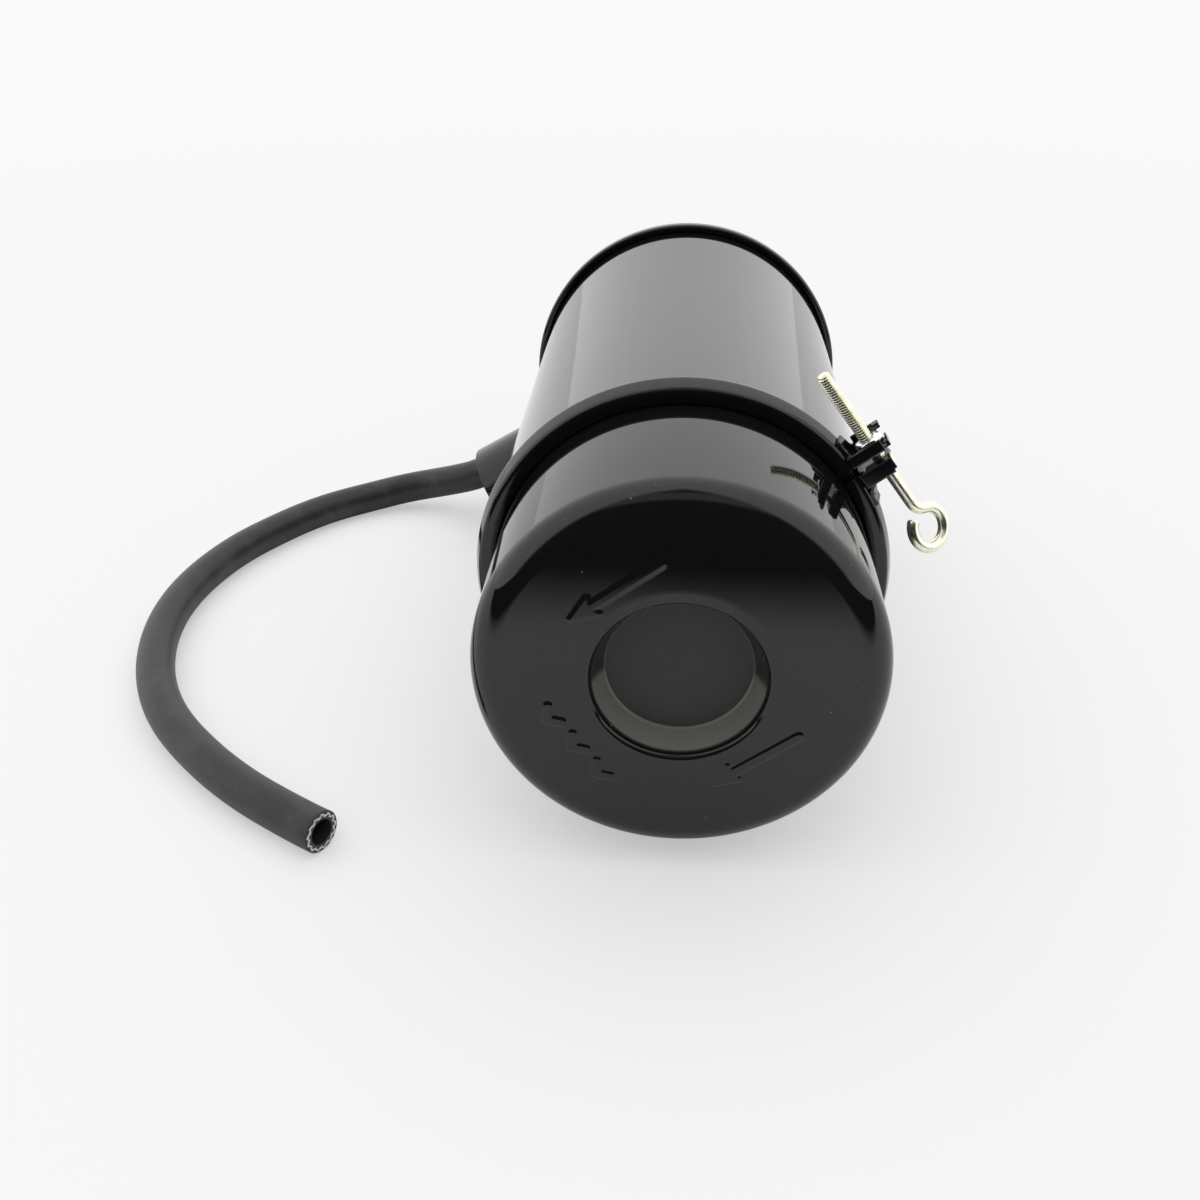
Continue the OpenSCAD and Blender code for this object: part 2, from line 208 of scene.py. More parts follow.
rippleGroup = makeRippleGroup()
speckGroup = makeSpeckGroup()
scuffGroup = makeScuffGroup()


def newMaterial(name, color, **plain):
    material = bpy.data.materials.new(name)
    tree = clearTree(material)
    inputs = {label.replace("_", " "): value for label, value in plain.items()}
    shader = addNode(tree, "ShaderNodeBsdfPrincipled", {"Base Color": (*color, 1.0), **inputs})
    addNode(tree, "ShaderNodeOutputMaterial", {"Surface": shader.outputs[0]})
    place = addNode(tree, "ShaderNodeTexCoord").outputs["Object"]
    return material, tree, shader, place


def useGroup(tree, group, **inputs):
    return addNode(tree, "ShaderNodeGroup", inputs, node_tree=group).outputs[0]


def feed(tree, shader, height, **values):
    # links what changes over the surface to the shader, and its height as a bump
    for label, value in values.items():
        tree.links.new(value, shader.inputs[label.replace("_", " ")])
    bump = addNode(tree, "ShaderNodeBump", {"Height": height, "Strength": 1.0, "Distance": 1.0})
    tree.links.new(bump.outputs[0], shader.inputs["Normal"])


def colorOf(value):
    return (*value, 1.0) if isinstance(value, tuple) else value


def mixColor(tree, mask, first, second):
    inputs = {0: mask, 6: colorOf(first), 7: colorOf(second)}
    return addNode(tree, "ShaderNodeMix", inputs, data_type="RGBA").outputs[2]


def mixShader(tree, share, first, second):
    return addNode(tree, "ShaderNodeMixShader", {0: share, 1: first, 2: second}).outputs[0]


# the cup's recess: a matte bottom, and a wall painted paler where it faces up, a painted reflection of the
# light overhead
recess = {
    "wallEdge": (37.6, 36.8), "bottomEdge": (32.2, 31.6), "matte": (0.027, 0.027, 0.026),
    "grain": (0.036, 0.036, 0.034), "wall": (0.022, 0.022, 0.021), "litSheen": (0.125, 0.122, 0.110),
    "sheenRise": 0.14, "wallRough": 0.3, "bottomRough": 0.22, "gritHeight": 0.02 * mm,
}


def makeEnamel(name, sheetWave=1.0, hollow=False):
    look = enamelLook
    material, tree, shader, place = newMaterial(name, look["color"], IOR=1.5)
    dust = useGroup(tree, speckGroup, Vector=place, Scale=420.0, Share=look["dustShare"], Size=0.16)
    haze = useGroup(tree, scuffGroup, Vector=place, Scale=22.0, Low=0.4, High=0.8)
    roughness = rangeOf(tree, haze, 0.0, 1.0, look["roughness"], look["roughness"] + 0.02)
    roughness = plus(tree, roughness, times(tree, dust, 0.5))
    height = useGroup(tree, rippleGroup, Vector=place, Sheet=sheetWave)
    color = mixColor(tree, dust, look["color"], look["dust"])
    if hollow:
        x, _, z = partsOf(tree, place)
        across = maths(tree, "SQRT", plus(tree, times(tree, x, x), times(tree, z, z)))
        inside, bottom = (rangeOf(tree, across, outer * mm, inner * mm)
                          for outer, inner in (recess["wallEdge"], recess["bottomEdge"]))
        grain = useGroup(tree, speckGroup, Vector=place, Scale=2400.0, Share=0.35, Size=0.5)
        facing = partsOf(tree, addNode(tree, "ShaderNodeNewGeometry").outputs["Normal"])
        # painted reflection: where the recess wall faces up it is painted paler for the overhead light it
        # would reflect; facing down it keeps the darker wall colour
        litShare = rangeOf(tree, facing["Z"], 0.0, recess["sheenRise"])
        wall = mixColor(tree, litShare, recess["wall"], recess["litSheen"])
        matte = mixColor(tree, bottom, wall, mixColor(tree, grain, recess["matte"], recess["grain"]))
        color = mixColor(tree, inside, color, mixColor(tree, dust, matte, look["dust"]))
        roughness = plus(tree, roughness, times(tree, inside, recess["wallRough"]))
        roughness = plus(tree, roughness, times(tree, bottom, recess["bottomRough"]))
        height = plus(tree, height, times(tree, grain, bottom, recess["gritHeight"]))
    feed(tree, shader, height, Base_Color=color, Roughness=roughness)
    return material


def makeZinc(name, color, dull, roughness):
    material, tree, shader, place = newMaterial(name, color, Metallic=1.0)
    cloud = useGroup(tree, scuffGroup, Vector=place, Scale=260.0, Low=0.35, High=0.75)
    spots = useGroup(tree, speckGroup, Vector=place, Scale=900.0, Share=0.06, Size=0.3)
    worn = maths(tree, "MAXIMUM", cloud, spots)
    height = times(tree, noiseOf(tree, place, 1800.0, 2.0), 0.01 * mm)
    feed(tree, shader, height, Base_Color=mixColor(tree, worn, color, dull),
         Roughness=rangeOf(tree, worn, 0.0, 1.0, roughness, roughness + 0.14))
    return material


def makeRubber(name, color, scuffed, roughness, scale=90.0):
    material, tree, shader, place = newMaterial(name, color, IOR=1.45)
    patches = useGroup(tree, scuffGroup, Vector=place, Scale=scale, Low=0.44, High=0.78)
    dust = useGroup(tree, speckGroup, Vector=place, Scale=700.0, Share=0.05, Size=0.22)
    worn = maths(tree, "MAXIMUM", times(tree, patches, 0.8), dust)
    height = times(tree, noiseOf(tree, place, 1600.0, 3.0, 0.6), 0.04 * mm)
    feed(tree, shader, height, Base_Color=mixColor(tree, worn, color, scuffed),
         Roughness=rangeOf(tree, worn, 0.0, 1.0, roughness, roughness + 0.15))
    return material


def makePaper(name, pale, brown):
    material, tree, shader, place = newMaterial(name, pale, Roughness=0.85)
    fibre = addNode(tree, "ShaderNodeMapping", {"Vector": place, "Scale": (900.0, 200.0, 900.0)})
    mottled = noiseOf(tree, fibre.outputs[0], 1.0, 4.0, 0.6)
    feed(tree, shader, times(tree, mottled, 0.05 * mm), Base_Color=mixColor(tree, mottled, pale, brown))
    return material


def makePlastic(name, color, roughness):
    material, tree, shader, place = newMaterial(name, color, IOR=1.48)
    cloud = useGroup(tree, scuffGroup, Vector=place, Scale=60.0, Low=0.3, High=0.8)
    height = times(tree, noiseOf(tree, place, 2600.0, 2.0), 0.03 * mm)
    feed(tree, shader, height, Roughness=rangeOf(tree, cloud, 0.0, 1.0, roughness, roughness + 0.12))
    return material


enamel = makeEnamel("blackEnamel")
cupEnamel = makeEnamel("cupEnamel", hollow=True)
lugEnamel = makeEnamel("lugEnamel", sheetWave=0.3)
paleZinc = makeZinc("paleZinc", (0.92, 0.94, 0.97), (0.80, 0.82, 0.86), 0.18)
creamZinc = makeZinc("creamZinc", (0.95, 0.93, 0.78), (0.84, 0.81, 0.62), 0.2)
tinPlate = makeZinc("tinPlate", (0.62, 0.63, 0.63), (0.42, 0.43, 0.43), 0.32)
sealRubber = makeRubber("sealRubber", (0.018, 0.018, 0.019), (0.045, 0.045, 0.045), 0.55)
hoseRubber = makeRubber("hoseRubber", (0.020, 0.020, 0.022), (0.060, 0.060, 0.064), 0.42, 60.0)
braidYarn = makeRubber("braidYarn", (0.55, 0.56, 0.58), (0.75, 0.76, 0.78), 0.7, 900.0)
filterPaper = makePaper("filterPaper", (0.66, 0.53, 0.28), (0.50, 0.36, 0.15))
vanePlastic = makePlastic("vanePlastic", (0.012, 0.012, 0.014), 0.38)
print("materials made")


# meshes


def meshPiece(name, points, faces, material, sharp=35.0, recalc=True):
    mesh = bpy.data.meshes.new(name)
    mesh.from_pydata([(p[0] * mm, p[1] * mm, p[2] * mm) for p in points], [], faces)
    work = bmesh.new()
    work.from_mesh(mesh)
    bmesh.ops.remove_doubles(work, verts=work.verts, dist=1e-7)
    if recalc:
        bmesh.ops.recalc_face_normals(work, faces=work.faces)
    work.to_mesh(mesh)
    work.free()
    obj = bpy.data.objects.new(name, mesh)
    scene.collection.objects.link(obj)
    mesh.materials.append(material)
    smoothMesh(mesh, sharp)
    return obj


def smoothMesh(mesh, sharp=35.0):
    mesh.shade_smooth()
    mesh.set_sharp_from_angle(angle=math.radians(sharp))


def plainMesh(obj):
    # what the modifiers make of a piece becomes its own mesh
    graph = bpy.context.evaluated_depsgraph_get()
    mesh = bpy.data.meshes.new_from_object(obj.evaluated_get(graph))
    obj.modifiers.clear()
    obj.data = mesh
    return obj


def cutWith(obj, cutter):
    cut = obj.modifiers.new("cut", "BOOLEAN")
    cut.operation = "DIFFERENCE"
    cut.solver = "EXACT"
    cut.object = cutter
    plainMesh(obj)
    bpy.data.objects.remove(cutter)


def settle(obj, body, slot, *nodes):
    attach(obj, body)
    if nodes:
        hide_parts(*nodes)
    return obj


def turned(vector, angle):
    c, s = math.cos(angle), math.sin(angle)
    return Vector((vector.x * c - vector.y * s, vector.x * s + vector.y * c))


def bendPath(points, bends, step=10.0):
    # points and directions along a path whose corners are bent to these radii
    corners = [Vector(p) for p in points]
    first = (corners[1] - corners[0]).normalized()
    path = [(corners[0], first)]
    for before, corner, after, radius in zip(corners, corners[1:], corners[2:], bends):
        d0 = (corner - before).normalized()
        d1 = (after - corner).normalized()
        turn = math.atan2(d0.x * d1.y - d0.y * d1.x, d0.dot(d1))
        side = Vector((-d0.y, d0.x)) * math.copysign(1.0, turn)
        start = corner - d0 * radius * math.tan(abs(turn) / 2)
        centre = start + side * radius
        count = max(2, math.ceil(math.degrees(abs(turn)) / step))
        for n in range(count + 1):
            a = turn * n / count
            path.append((centre - turned(side, a) * radius, turned(d0, a)))
    path.append((corners[-1], (corners[-1] - corners[-2]).normalized()))
    return path


def sheetOutline(points, bends, thick, step=10.0, roundStart=True, roundEnd=True):
    # the closed section of a bent sheet, from the line through its middle
    path = bendPath(points, bends, step)
    half = thick / 2
    left = [p + Vector((-d.y, d.x)) * half for p, d in path]
    right = [p - Vector((-d.y, d.x)) * half for p, d in path]

    def endCap(end, way):
        # a half round edge past one end of the sheet
        p, d = end
        return [p + (Vector((-d.y, d.x)) * math.cos(a) + d * math.sin(a)) * half * way
                for a in (math.pi / 4, math.pi / 2, math.pi * 3 / 4)]

    return (left + (endCap(path[-1], 1) if roundEnd else []) + right[::-1]
            + (endCap(path[0], -1) if roundStart else []))


def evenAngles(count, start=0.0, end=360.0):
    # angles in radians; a whole turn leaves out its last one
    steps = count if isWhole(start, end) else count - 1
    return [math.radians(start + (end - start) * n / steps) for n in range(count)]


def isWhole(start, end):
    return abs(end - start - 360.0) < 1e-6


def ringPoint(radius, angle, y):
    # a point round the canister's axis, clockwise from the top
    return radius * math.sin(angle), y, radius * math.cos(angle)


def spinPoints(outline, angles, closed=True):
    # turns (radius, y) pairs about the canister's axis
    points, rings, faces = [], [], []
    for radius, y in outline:
        onAxis = radius < 1e-6
        rings.append([len(points) + (0 if onAxis else n) for n in range(len(angles))])
        points += [(0.0, y, 0.0)] if onAxis else [ringPoint(radius, a, y) for a in angles]
    for ring, after in zip(rings, rings[1:] + rings[:1]):
        for n in range(len(angles) if closed else len(angles) - 1):
            m = (n + 1) % len(angles)
            face = list(dict.fromkeys((ring[n], ring[m], after[m], after[n])))
            if len(face) > 2:
                faces.append(face)
    if not closed:
        faces += [[ring[0] for ring in rings], [ring[-1] for ring in rings][::-1]]
    return points, faces


def spin(name, outline, material, count=256, start=0.0, end=360.0, sharp=35.0, shape=None):
    points, faces = spinPoints(outline, evenAngles(count, start, end), isWhole(start, end))
    return meshPiece(name, shape(points) if shape else points, faces, material, sharp)


def transport(path):
    # a side and an up direction at each point of a path, without twist
    tangents = []
    for n in range(len(path)):
        before, after = path[max(n - 1, 0)], path[min(n + 1, len(path) - 1)]
        tangents.append((after - before).normalized())
    side = tangents[0].orthogonal().normalized()
    frames = []
    for tangent in tangents:
        side = (side - tangent * side.dot(tangent)).normalized()
        frames.append((side, tangent.cross(side)))
    return tangents, frames


def ringFaces(count, sides, closed=True):
    # the faces between neighbouring rings of points; closed joins the last ring to the first
    pairs = [(k * sides, (k + 1) % count * sides) for k in range(count if closed else count - 1)]
    return [(a + n, a + (n + 1) % sides, b + (n + 1) % sides, b + n)
            for a, b in pairs for n in range(sides)]


def tubePoints(path, radii, sides, bore=0.0):
    # a round bar or tube along a path, with flat or bored ends
    _, frames = transport(path)
    rings = list(zip(path, frames, radii))
    if bore:
        rings += [(p, across, bore) for p, across, _ in reversed(rings)]
    angles = evenAngles(sides)
    points = [p + (side * math.cos(a) + up * math.sin(a)) * radius
              for p, (side, up), radius in rings for a in angles]
    faces = ringFaces(len(rings), sides, bool(bore))
    if not bore:
        last = len(points) - sides
        faces += [list(range(sides))[::-1], list(range(last, last + sides))]
    return points, faces


# the loose hose; its exit and its route are in metres

hose = {
    "diameter": 21.0, "bore": 13.0, "edge": 0.35, "sides": 56, "step": 3.0, "between": 12, "rounds": 30,
    "exit": (-0.120, -0.068, -0.056),
    "route": [
        (-0.096, -0.0685, -0.0415), (-0.1175, -0.068, -0.054), (-0.1415, -0.0665, -0.068),
        (-0.158, -0.0615, -0.075), (-0.176, -0.0555, -0.0815), (-0.199, -0.054, -0.087),
        (-0.221, -0.063, -0.090), (-0.242, -0.078, -0.0905), (-0.260, -0.097, -0.0905),
        (-0.276, -0.121, -0.0905), (-0.290, -0.146, -0.0905), (-0.300, -0.174, -0.0905),
        (-0.306, -0.204, -0.0905), (-0.307, -0.234, -0.0905), (-0.303, -0.265, -0.0905),
        (-0.294, -0.296, -0.0905), (-0.281, -0.324, -0.0905), (-0.265, -0.348, -0.0905),
        (-0.247, -0.368, -0.0905), (-0.228, -0.386, -0.0905), (-0.208, -0.402, -0.0905),
        (-0.190, -0.414, -0.0905), (-0.172, -0.425, -0.0905), (-0.163, -0.430, -0.0905),
    ],
}


def smoothRoute(points, step):
    # a smooth curve through the route's points, with even steps
    given = [2 * points[0] - points[1], *points, 2 * points[-1] - points[-2]]
    shares = [n / hose["between"] for n in range(hose["between"])]
    fine = [
        0.5 * (2 * p1 + (p2 - p0) * t + (2 * p0 - 5 * p1 + 4 * p2 - p3) * t * t
               + (3 * p1 - p0 - 3 * p2 + p3) * t ** 3)
        for p0, p1, p2, p3 in zip(given, given[1:], given[2:], given[3:]) for t in shares
    ]
    fine.append(points[-1])
    for _ in range(hose["rounds"]):
        fine[1:-1] = [(a + 2 * b + c) / 4 for a, b, c in zip(fine, fine[1:], fine[2:])]
    lengths = list(itertools.accumulate(((b - a).length for a, b in zip(fine, fine[1:])), initial=0.0))
    count = round(lengths[-1] / step)
    route, k = [], 0
    for n in range(count + 1):
        want = lengths[-1] * n / count
        while k < len(fine) - 2 and lengths[k + 1] < want:
            k += 1
        share = (want - lengths[k]) / (lengths[k + 1] - lengths[k])
        route.append(fine[k].lerp(fine[k + 1], min(share, 1.0)))
    return route, lengths[-1]


def makeHose():
    route, length = smoothRoute([Vector(p) / mm for p in hose["route"]], hose["step"])
    radius, edge = hose["diameter"] / 2, hose["edge"]
    path = [*route[:-1], route[-1] - transport(route)[0][-1] * edge, route[-1]]
    radii = [radius] * (len(path) - 1) + [radius - edge]
    points, faces = tubePoints(path, radii, hose["sides"], hose["bore"] / 2)
    obj = meshPiece("looseHose", points, faces, hoseRubber, 40.0)
    settle(obj, "root", "hose_rubber", "air_hose")
    print("hose made,", round(length), "mm long")
    return obj, route, length


hosePiece, hoseRoute, hoseLength = makeHose()


# barrel, rear head and tubes

barrel = {
    "radius": 96.5, "wall": 1.5, "bends": (2.2, 0.76, 0.76, 0.755), "flangeIn": 0.3, "hemRadius": 98.07,
    "hemEnd": 96.4, "hemFold": 2.27, "segments": 384, "lapAngle": 66.0, "lapHeight": 0.35, "lapWidth": 7.0,
}
inletMount = named(frame["record"]["mounts"], "inlet")
inlet = {
    "radius": inletMount["dims"]["r_mm"], "wall": 1.5, "mouthRound": 0.5, "sides": 160,
    "sunkIn": 1.2, "sunkOut": 0.4, "weldRadius": 1.7, "weldWobble": 0.25,
}
inletAxis = Vector(inletMount["axis"]).normalized()
inletMouth = Vector(inletMount["pos_m"]).dot(inletAxis) / mm
inletCentre = Vector(inletMount["pos_m"]) / mm - inletAxis * inletMouth
inletSide = inletAxis.cross(Vector((0, 1, 0))).normalized()


def inletPoint(angle, radius, height):
    return (inletCentre + inletAxis * height
            + (Vector((0, 1, 0)) * math.cos(angle) + inletSide * math.sin(angle)) * radius)


def saddleHeight(angle, radius):
    # how far out the barrel's surface is under this point of a tube round the inlet's axis
    return math.sqrt(barrel["radius"] ** 2 - (radius * math.sin(angle)) ** 2)


def makeBarrel():
    look, half = barrel, barrel["wall"] / 2
    middle, hemOut, start = look["radius"] - half, look["hemRadius"] - half, seamRear - half * 3
    back, fold = hemRear + half, hemRear + look["hemFold"]
    path = [
        (boxOf("body_shell")[1].x - look["flangeIn"], start), (middle, start), (middle, back),
        (hemOut, back), (hemOut, fold), (look["hemEnd"], fold),
    ]
    outline = sheetOutline(path, look["bends"], look["wall"])
    # the sheet's long edges overlap, so a flat ridge runs along the barrel
    lap, lapHalf = math.radians(look["lapAngle"]), look["lapWidth"] / 2 / look["radius"]
    angles = [a for a in evenAngles(look["segments"]) if abs(a - lap) > lapHalf * 1.3]
    angles += [lap + lapHalf * k for k in (-1.25, -1.0, -0.92, -0.5, 0.0, 0.5, 0.92, 1.0, 1.25)]
    points, faces = spinPoints(outline, sorted(angles))
    shaped = []
    for x, y, z in points:
        onLap = abs(math.atan2(x, z) - lap) < lapHalf * 0.95 and seamFront > y > bandRear
        grow = 1 + (look["lapHeight"] if onLap else 0.0) / math.hypot(x, z)
        shaped.append((x * grow, y, z * grow))
    obj = meshPiece("barrel", shaped, faces, enamel)
    # the inlet's bore goes through the wall
    bore = inlet["radius"] - inlet["wall"]
    path = [inletCentre + inletAxis * height for height in (60, 120)]
    cutWith(obj, meshPiece("inletCutter", *tubePoints(path, [bore, bore], 128), enamel))
    smoothMesh(obj.data)
    return settle(obj, "root", "enamel", "body_shell")


def makeInlet():
    radius, wall, edge, sides = (inlet[key] for key in ("radius", "wall", "mouthRound", "sides"))
    points = []
    for a in evenAngles(sides):
        low = saddleHeight(a, radius)
        # the section of the tube's wall, from the barrel to its rounded mouth and back
        points += [inletPoint(a, radius - inward, height) for inward, height in (
            (wall, low - inlet["sunkIn"]), (0, low - inlet["sunkOut"]), (0, inletMouth - edge),
            (edge * 0.3, inletMouth - edge * 0.3), (edge, inletMouth), (wall - edge * 0.6, inletMouth),
            (wall, inletMouth - edge * 0.6),
        )]
    stub = meshPiece("inletStub", points, ringFaces(sides, 7), enamel)
    settle(stub, "root", "enamel", "inlet_tube")
    # the weld between the tube and the barrel, painted over
    points, around = [], evenAngles(10)
    for n, a in enumerate(evenAngles(sides * 2)):
        size = inlet["weldRadius"] + inlet["weldWobble"] * math.sin(n * 1.9) * math.sin(n * 0.37 + 1)
        centre = inletPoint(a, radius + 0.2, saddleHeight(a, radius) + 0.1)
        outside = (inletPoint(a, 1, 0) - inletCentre).normalized()
        points += [centre + (outside * math.cos(b) + inletAxis * math.sin(b)) * size for b in around]
    weld = meshPiece("inletWeld", points, ringFaces(sides * 2, len(around)), enamel, 80.0)
    settle(weld, "root", "enamel")


rearHead = {
    "sheet": 1.5, "bends": (1.5, 1.5, 1.5, 2.0, 3.0, 3.0, 3.0, 3.0, 1.3), "curlEnd": 97.9,
    "channelOut": 93.9, "channelIn": 90.4, "panelDepth": 7.75, "beadIn": 56.0, "beadOut": 72.0,
    "beadHeight": 3.0, "beadSlope": 3.0, "collarOut": 1.6, "collarIn": 0.2, "collarHeight": 2.6,
}


def makeRearHead():
    look, sheet = rearHead, rearHead["sheet"]
    rim, back, curl = seamRadius - sheet / 2, seamRear - sheet / 2, seamFront + sheet / 2
    panel, slope = seamRear - look["panelDepth"], look["beadSlope"]
    raised, neck = panel + look["beadHeight"], boxOf("outlet_tube")[1].x
    path = [
        (look["curlEnd"], curl), (rim, curl), (rim, back), (look["channelOut"], back),
        (look["channelIn"], panel), (look["beadOut"] + slope, panel), (look["beadOut"], raised),
        (look["beadIn"], raised), (look["beadIn"] - slope, panel), (neck + look["collarOut"], panel),
        (neck + look["collarIn"], panel + look["collarHeight"]),
    ]
    outline = sheetOutline(path, look["bends"], sheet)
    settle(spin("rearHead", outline, enamel, 320), "root", "enamel", "rear_head")


outletWall = 1.5


def makeOutlet():
    low, high = boxOf("outlet_tube")
    half = outletWall / 2
    middle = high.x - half
    outline = sheetOutline([(middle, low.y + half), (middle, high.y - half)], [], outletWall)
    settle(spin("outletTube", outline, enamel, 192), "root", "enamel", "outlet_tube")


makeBarrel()
makeInlet()
makeRearHead()
makeOutlet()
print("barrel made")


# joint gasket and clamp band


gasket = {"inner": 90.9, "crown": 0.4}


def makeGasket():
    low, high = boxOf("joint_gasket")
    inner, outer, crown = gasket["inner"], high.x - gasket["crown"], (high.x, (low.y + high.y) / 2)
    outline = [(inner, low.y), (outer, low.y), crown, (outer, high.y), (inner, high.y)]
    settle(spin("jointGasket", outline, sealRubber, 192), "root", "rubber", "joint_gasket")


clampBand = {
    "sheet": 1.5, "rearEdge": 97.6, "frontEdge": 91.4, "rearBend": 3.4, "frontBend": 1.8, "slope": 3.5,
    "gapHalf": 1.25, "bendFrom": 150.0, "blendTo": 0.93,
}
clampAngle = math.degrees(math.atan2(outward.x, outward.z))


def makeClampBand():
    # the band is spun in two halves that meet opposite the gap; the half on the bolt's side is left in
    # place beside the gap
    look, sheet = clampBand, clampBand["sheet"]
    crown = seamRadius - sheet / 2
    rear, front = bandRear - sheet / 2, bandFront + sheet / 2
    path = [(look["rearEdge"], rear), (crown, rear), (crown - look["slope"], front),
            (look["frontEdge"], front)]
    outline = sheetOutline(path, [look["rearBend"], look["frontBend"]], sheet, 9.0)
    gap = look["gapHalf"]
    left = spin("clampBandLeft", outline, enamel, 240, 180.0, 360.0 + clampAngle - gap)
    settle(left, "root", "enamel", "clamp_band")
    right = spin("clampBandRight", outline, enamel, 160, clampAngle + gap, 180.0)
    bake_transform(right)


makeGasket()
makeClampBand()
print("clamp band made")


# service cup

cup = {
    "radius": 90.0, "sheet": 1.5, "bends": (0.76, 0.76, 1.5, 11.25, 12.0, 1.6, 2.2), "hemIn": 92.0,
    "hemOut": 95.65, "lip": 42.8, "lipDrop": 0.6, "mouth": 38.6, "floor": 32.5, "depth": 14.5,
    "segments": 520, "fineStep": 0.55, "fineFrom": 45.2, "fineTo": 77.5, "arrowHeight": 0.9,
    "relief": 0.55, "shoulder": 1.25, "crest": 0.45,
}
marks = {
    "turn": 217.0, "offset": 51.0, "tail": -26.5, "tip": 18.5, "shaft": 1.1, "headLength": 11.5,
    "headHalf": 4.4, "notch": 2.0, "chevronAt": 55.0, "chevronOffsets": (-17.5, 0.0, 17.5),
    "chevronHalf": 5.0, "chevronDepth": 4.5, "chevronWidth": 1.0,
}
cupFace = boxOf("dust_cup")[0].y + cup["arrowHeight"]


def lineDistance(u, n, a, b):
    # distance from the points (u, n) to the line between a and b
    du, dn = b[0] - a[0], b[1] - a[1]
    share = np.clip(((u - a[0]) * du + (n - a[1]) * dn) / (du * du + dn * dn), 0, 1)
    return np.hypot(u - a[0] - share * du, n - a[1] - share * dn)


def shapeDistance(u, n, corners):
    # distance outside a closed shape, below zero inside it
    distance = np.full(u.shape, 1e9)
    inside = np.zeros(u.shape, bool)
    for a, b in zip(corners, corners[1:] + corners[:1]):
        distance = np.minimum(distance, lineDistance(u, n, a, b))
        crosses = (a[1] > n) != (b[1] > n)
        with np.errstate(divide="ignore", invalid="ignore"):
            at = (b[0] - a[0]) * (n - a[1]) / (b[1] - a[1]) + a[0]
        inside ^= crosses & (u < at)
    return np.where(inside, -distance, distance)


def faceRelief(x, z):
    # height of the marks pressed in the cup's face: two arrows and three chevrons, all pointing one way
    a = math.radians(marks["turn"])
    u = x * math.cos(a) + z * math.sin(a)
    n = -x * math.sin(a) + z * math.cos(a)
    nearest = np.full(u.shape, 1e9)
    tip, back = marks["tip"], marks["tip"] - marks["headLength"]
    for side in (-1, 1):
        across = side * marks["offset"]
        shaft = lineDistance(u, n, (marks["tail"], across), (back, across)) - marks["shaft"]
        head = shapeDistance(u, n, [
            (tip, across), (back, across + marks["headHalf"]),
            (back + marks["notch"], across), (back, across - marks["headHalf"]),
        ])
        nearest = np.minimum(nearest, np.minimum(shaft, head))
    for across in marks["chevronOffsets"]:
        peak = (marks["chevronAt"] + marks["chevronDepth"] / 2, across)
        for side in (-1, 1):
            foot = (peak[0] - marks["chevronDepth"], across + side * marks["chevronHalf"])
            nearest = np.minimum(nearest, lineDistance(u, n, peak, foot) - marks["chevronWidth"])
    share = np.clip(1 - (nearest - cup["crest"]) / cup["shoulder"], 0, 1)
    return cup["relief"] * share * share * (3 - 2 * share)


def fineOutline(outline, y, low, high, step):
    # adds points along the straight run of a section at this y
    out = []
    for a, b in zip(outline, outline[1:] + outline[:1]):
        out.append(a)
        if abs(a[1] - y) < 0.01 and abs(b[1] - y) < 0.01 and abs(a[0] - b[0]) > 5:
            radii = np.arange(high, low, -step) if a[0] > b[0] else np.arange(low, high, step)
            out += [Vector((float(r), y)) for r in radii]
    return out


def makeCup():
    sheet, half = cup["sheet"], cup["sheet"] / 2
    wall, front = cup["radius"] - half, cupFace + half
    back, fold = hemFront - half, hemFront - barrel["hemFold"]
    slope = (cup["mouth"] - cup["floor"]) / cup["depth"]
    side = half * math.sqrt(1 + slope * slope) - slope * half
    path = [
        (cup["hemIn"], fold), (cup["hemOut"], fold), (cup["hemOut"], back), (wall, back), (wall, front),
        (cup["lip"], front), (cup["mouth"] + side, front + cup["lipDrop"]),
        (cup["floor"] + side, front + cup["depth"]), (0.0, front + cup["depth"]),
    ]
    outline = sheetOutline(path, cup["bends"], sheet, 9.0, True, False)
    outline = fineOutline(outline, cupFace, cup["fineFrom"], cup["fineTo"], cup["fineStep"])

    def press(points):
        places = np.array([tuple(p) for p in points])
        onFace = np.abs(places[:, 1] - cupFace) < 0.01
        places[onFace, 1] -= faceRelief(places[onFace, 0], places[onFace, 2])
        return places

    obj = spin("serviceCup", outline, cupEnamel, cup["segments"], sharp=40.0, shape=press)
    return settle(obj, "service_cup", "enamel", "dust_cup")


makeCup()
print("cup made")


# clamp ears, nut and eye bolt

clampMiddle = Vector((0, boltPoint.y, 0))


def clampPlace(x, y, z):
    # x runs along the bolt, y outwards from the canister's axis and z forwards to the cup
    return clampMiddle + along * x + outward * y + forward * z


def boltPlace(x, w, v=0.0):
    # x runs along the bolt; the eye lies in the plane of x and w, turned off the outward direction
    across = outward * math.sin(eyeBolt["turn"]) - forward * math.cos(eyeBolt["turn"])
    return boltPoint + along * x + across * w + along.cross(across) * v


ears = {
    "sheet": 1.5, "nutHalf": 7.2, "boltHalf": 8.0, "gap": 4.0, "foot": 14.0, "footSheet": 1.2,
    "footHalf": 5.6, "footEnd": 3.6, "footLift": 0.6, "neckRise": 7.0, "neckReach": 12.0, "neckLift": 0.2,
    "hole": 3.5, "socketSpace": 11.4, "socketDepth": 6.0, "pocket": 4.6, "over": 5.0, "lipOver": 8.1,
    "lipSheet": 1.2, "lipLong": 3.0, "lipSides": (-0.6, 0.75), "tabSheet": 1.4, "tabLong": 3.4,
    "tabWide": 4.0, "slant": 1.6, "sunk": 0.4, "slopeReach": 6.0, "voxel": 0.36, "rounds": 3,
}
earTop = boltHeight + ears["over"]
lipTop = boltHeight + ears["lipOver"]
earBase = seamRadius - ears["sunk"]


def addFaces(work, points, faces):
    made = [work.verts.new(clampPlace(*p) * mm) for p in points]
    for face in faces:
        work.faces.new([made[k] for k in face])


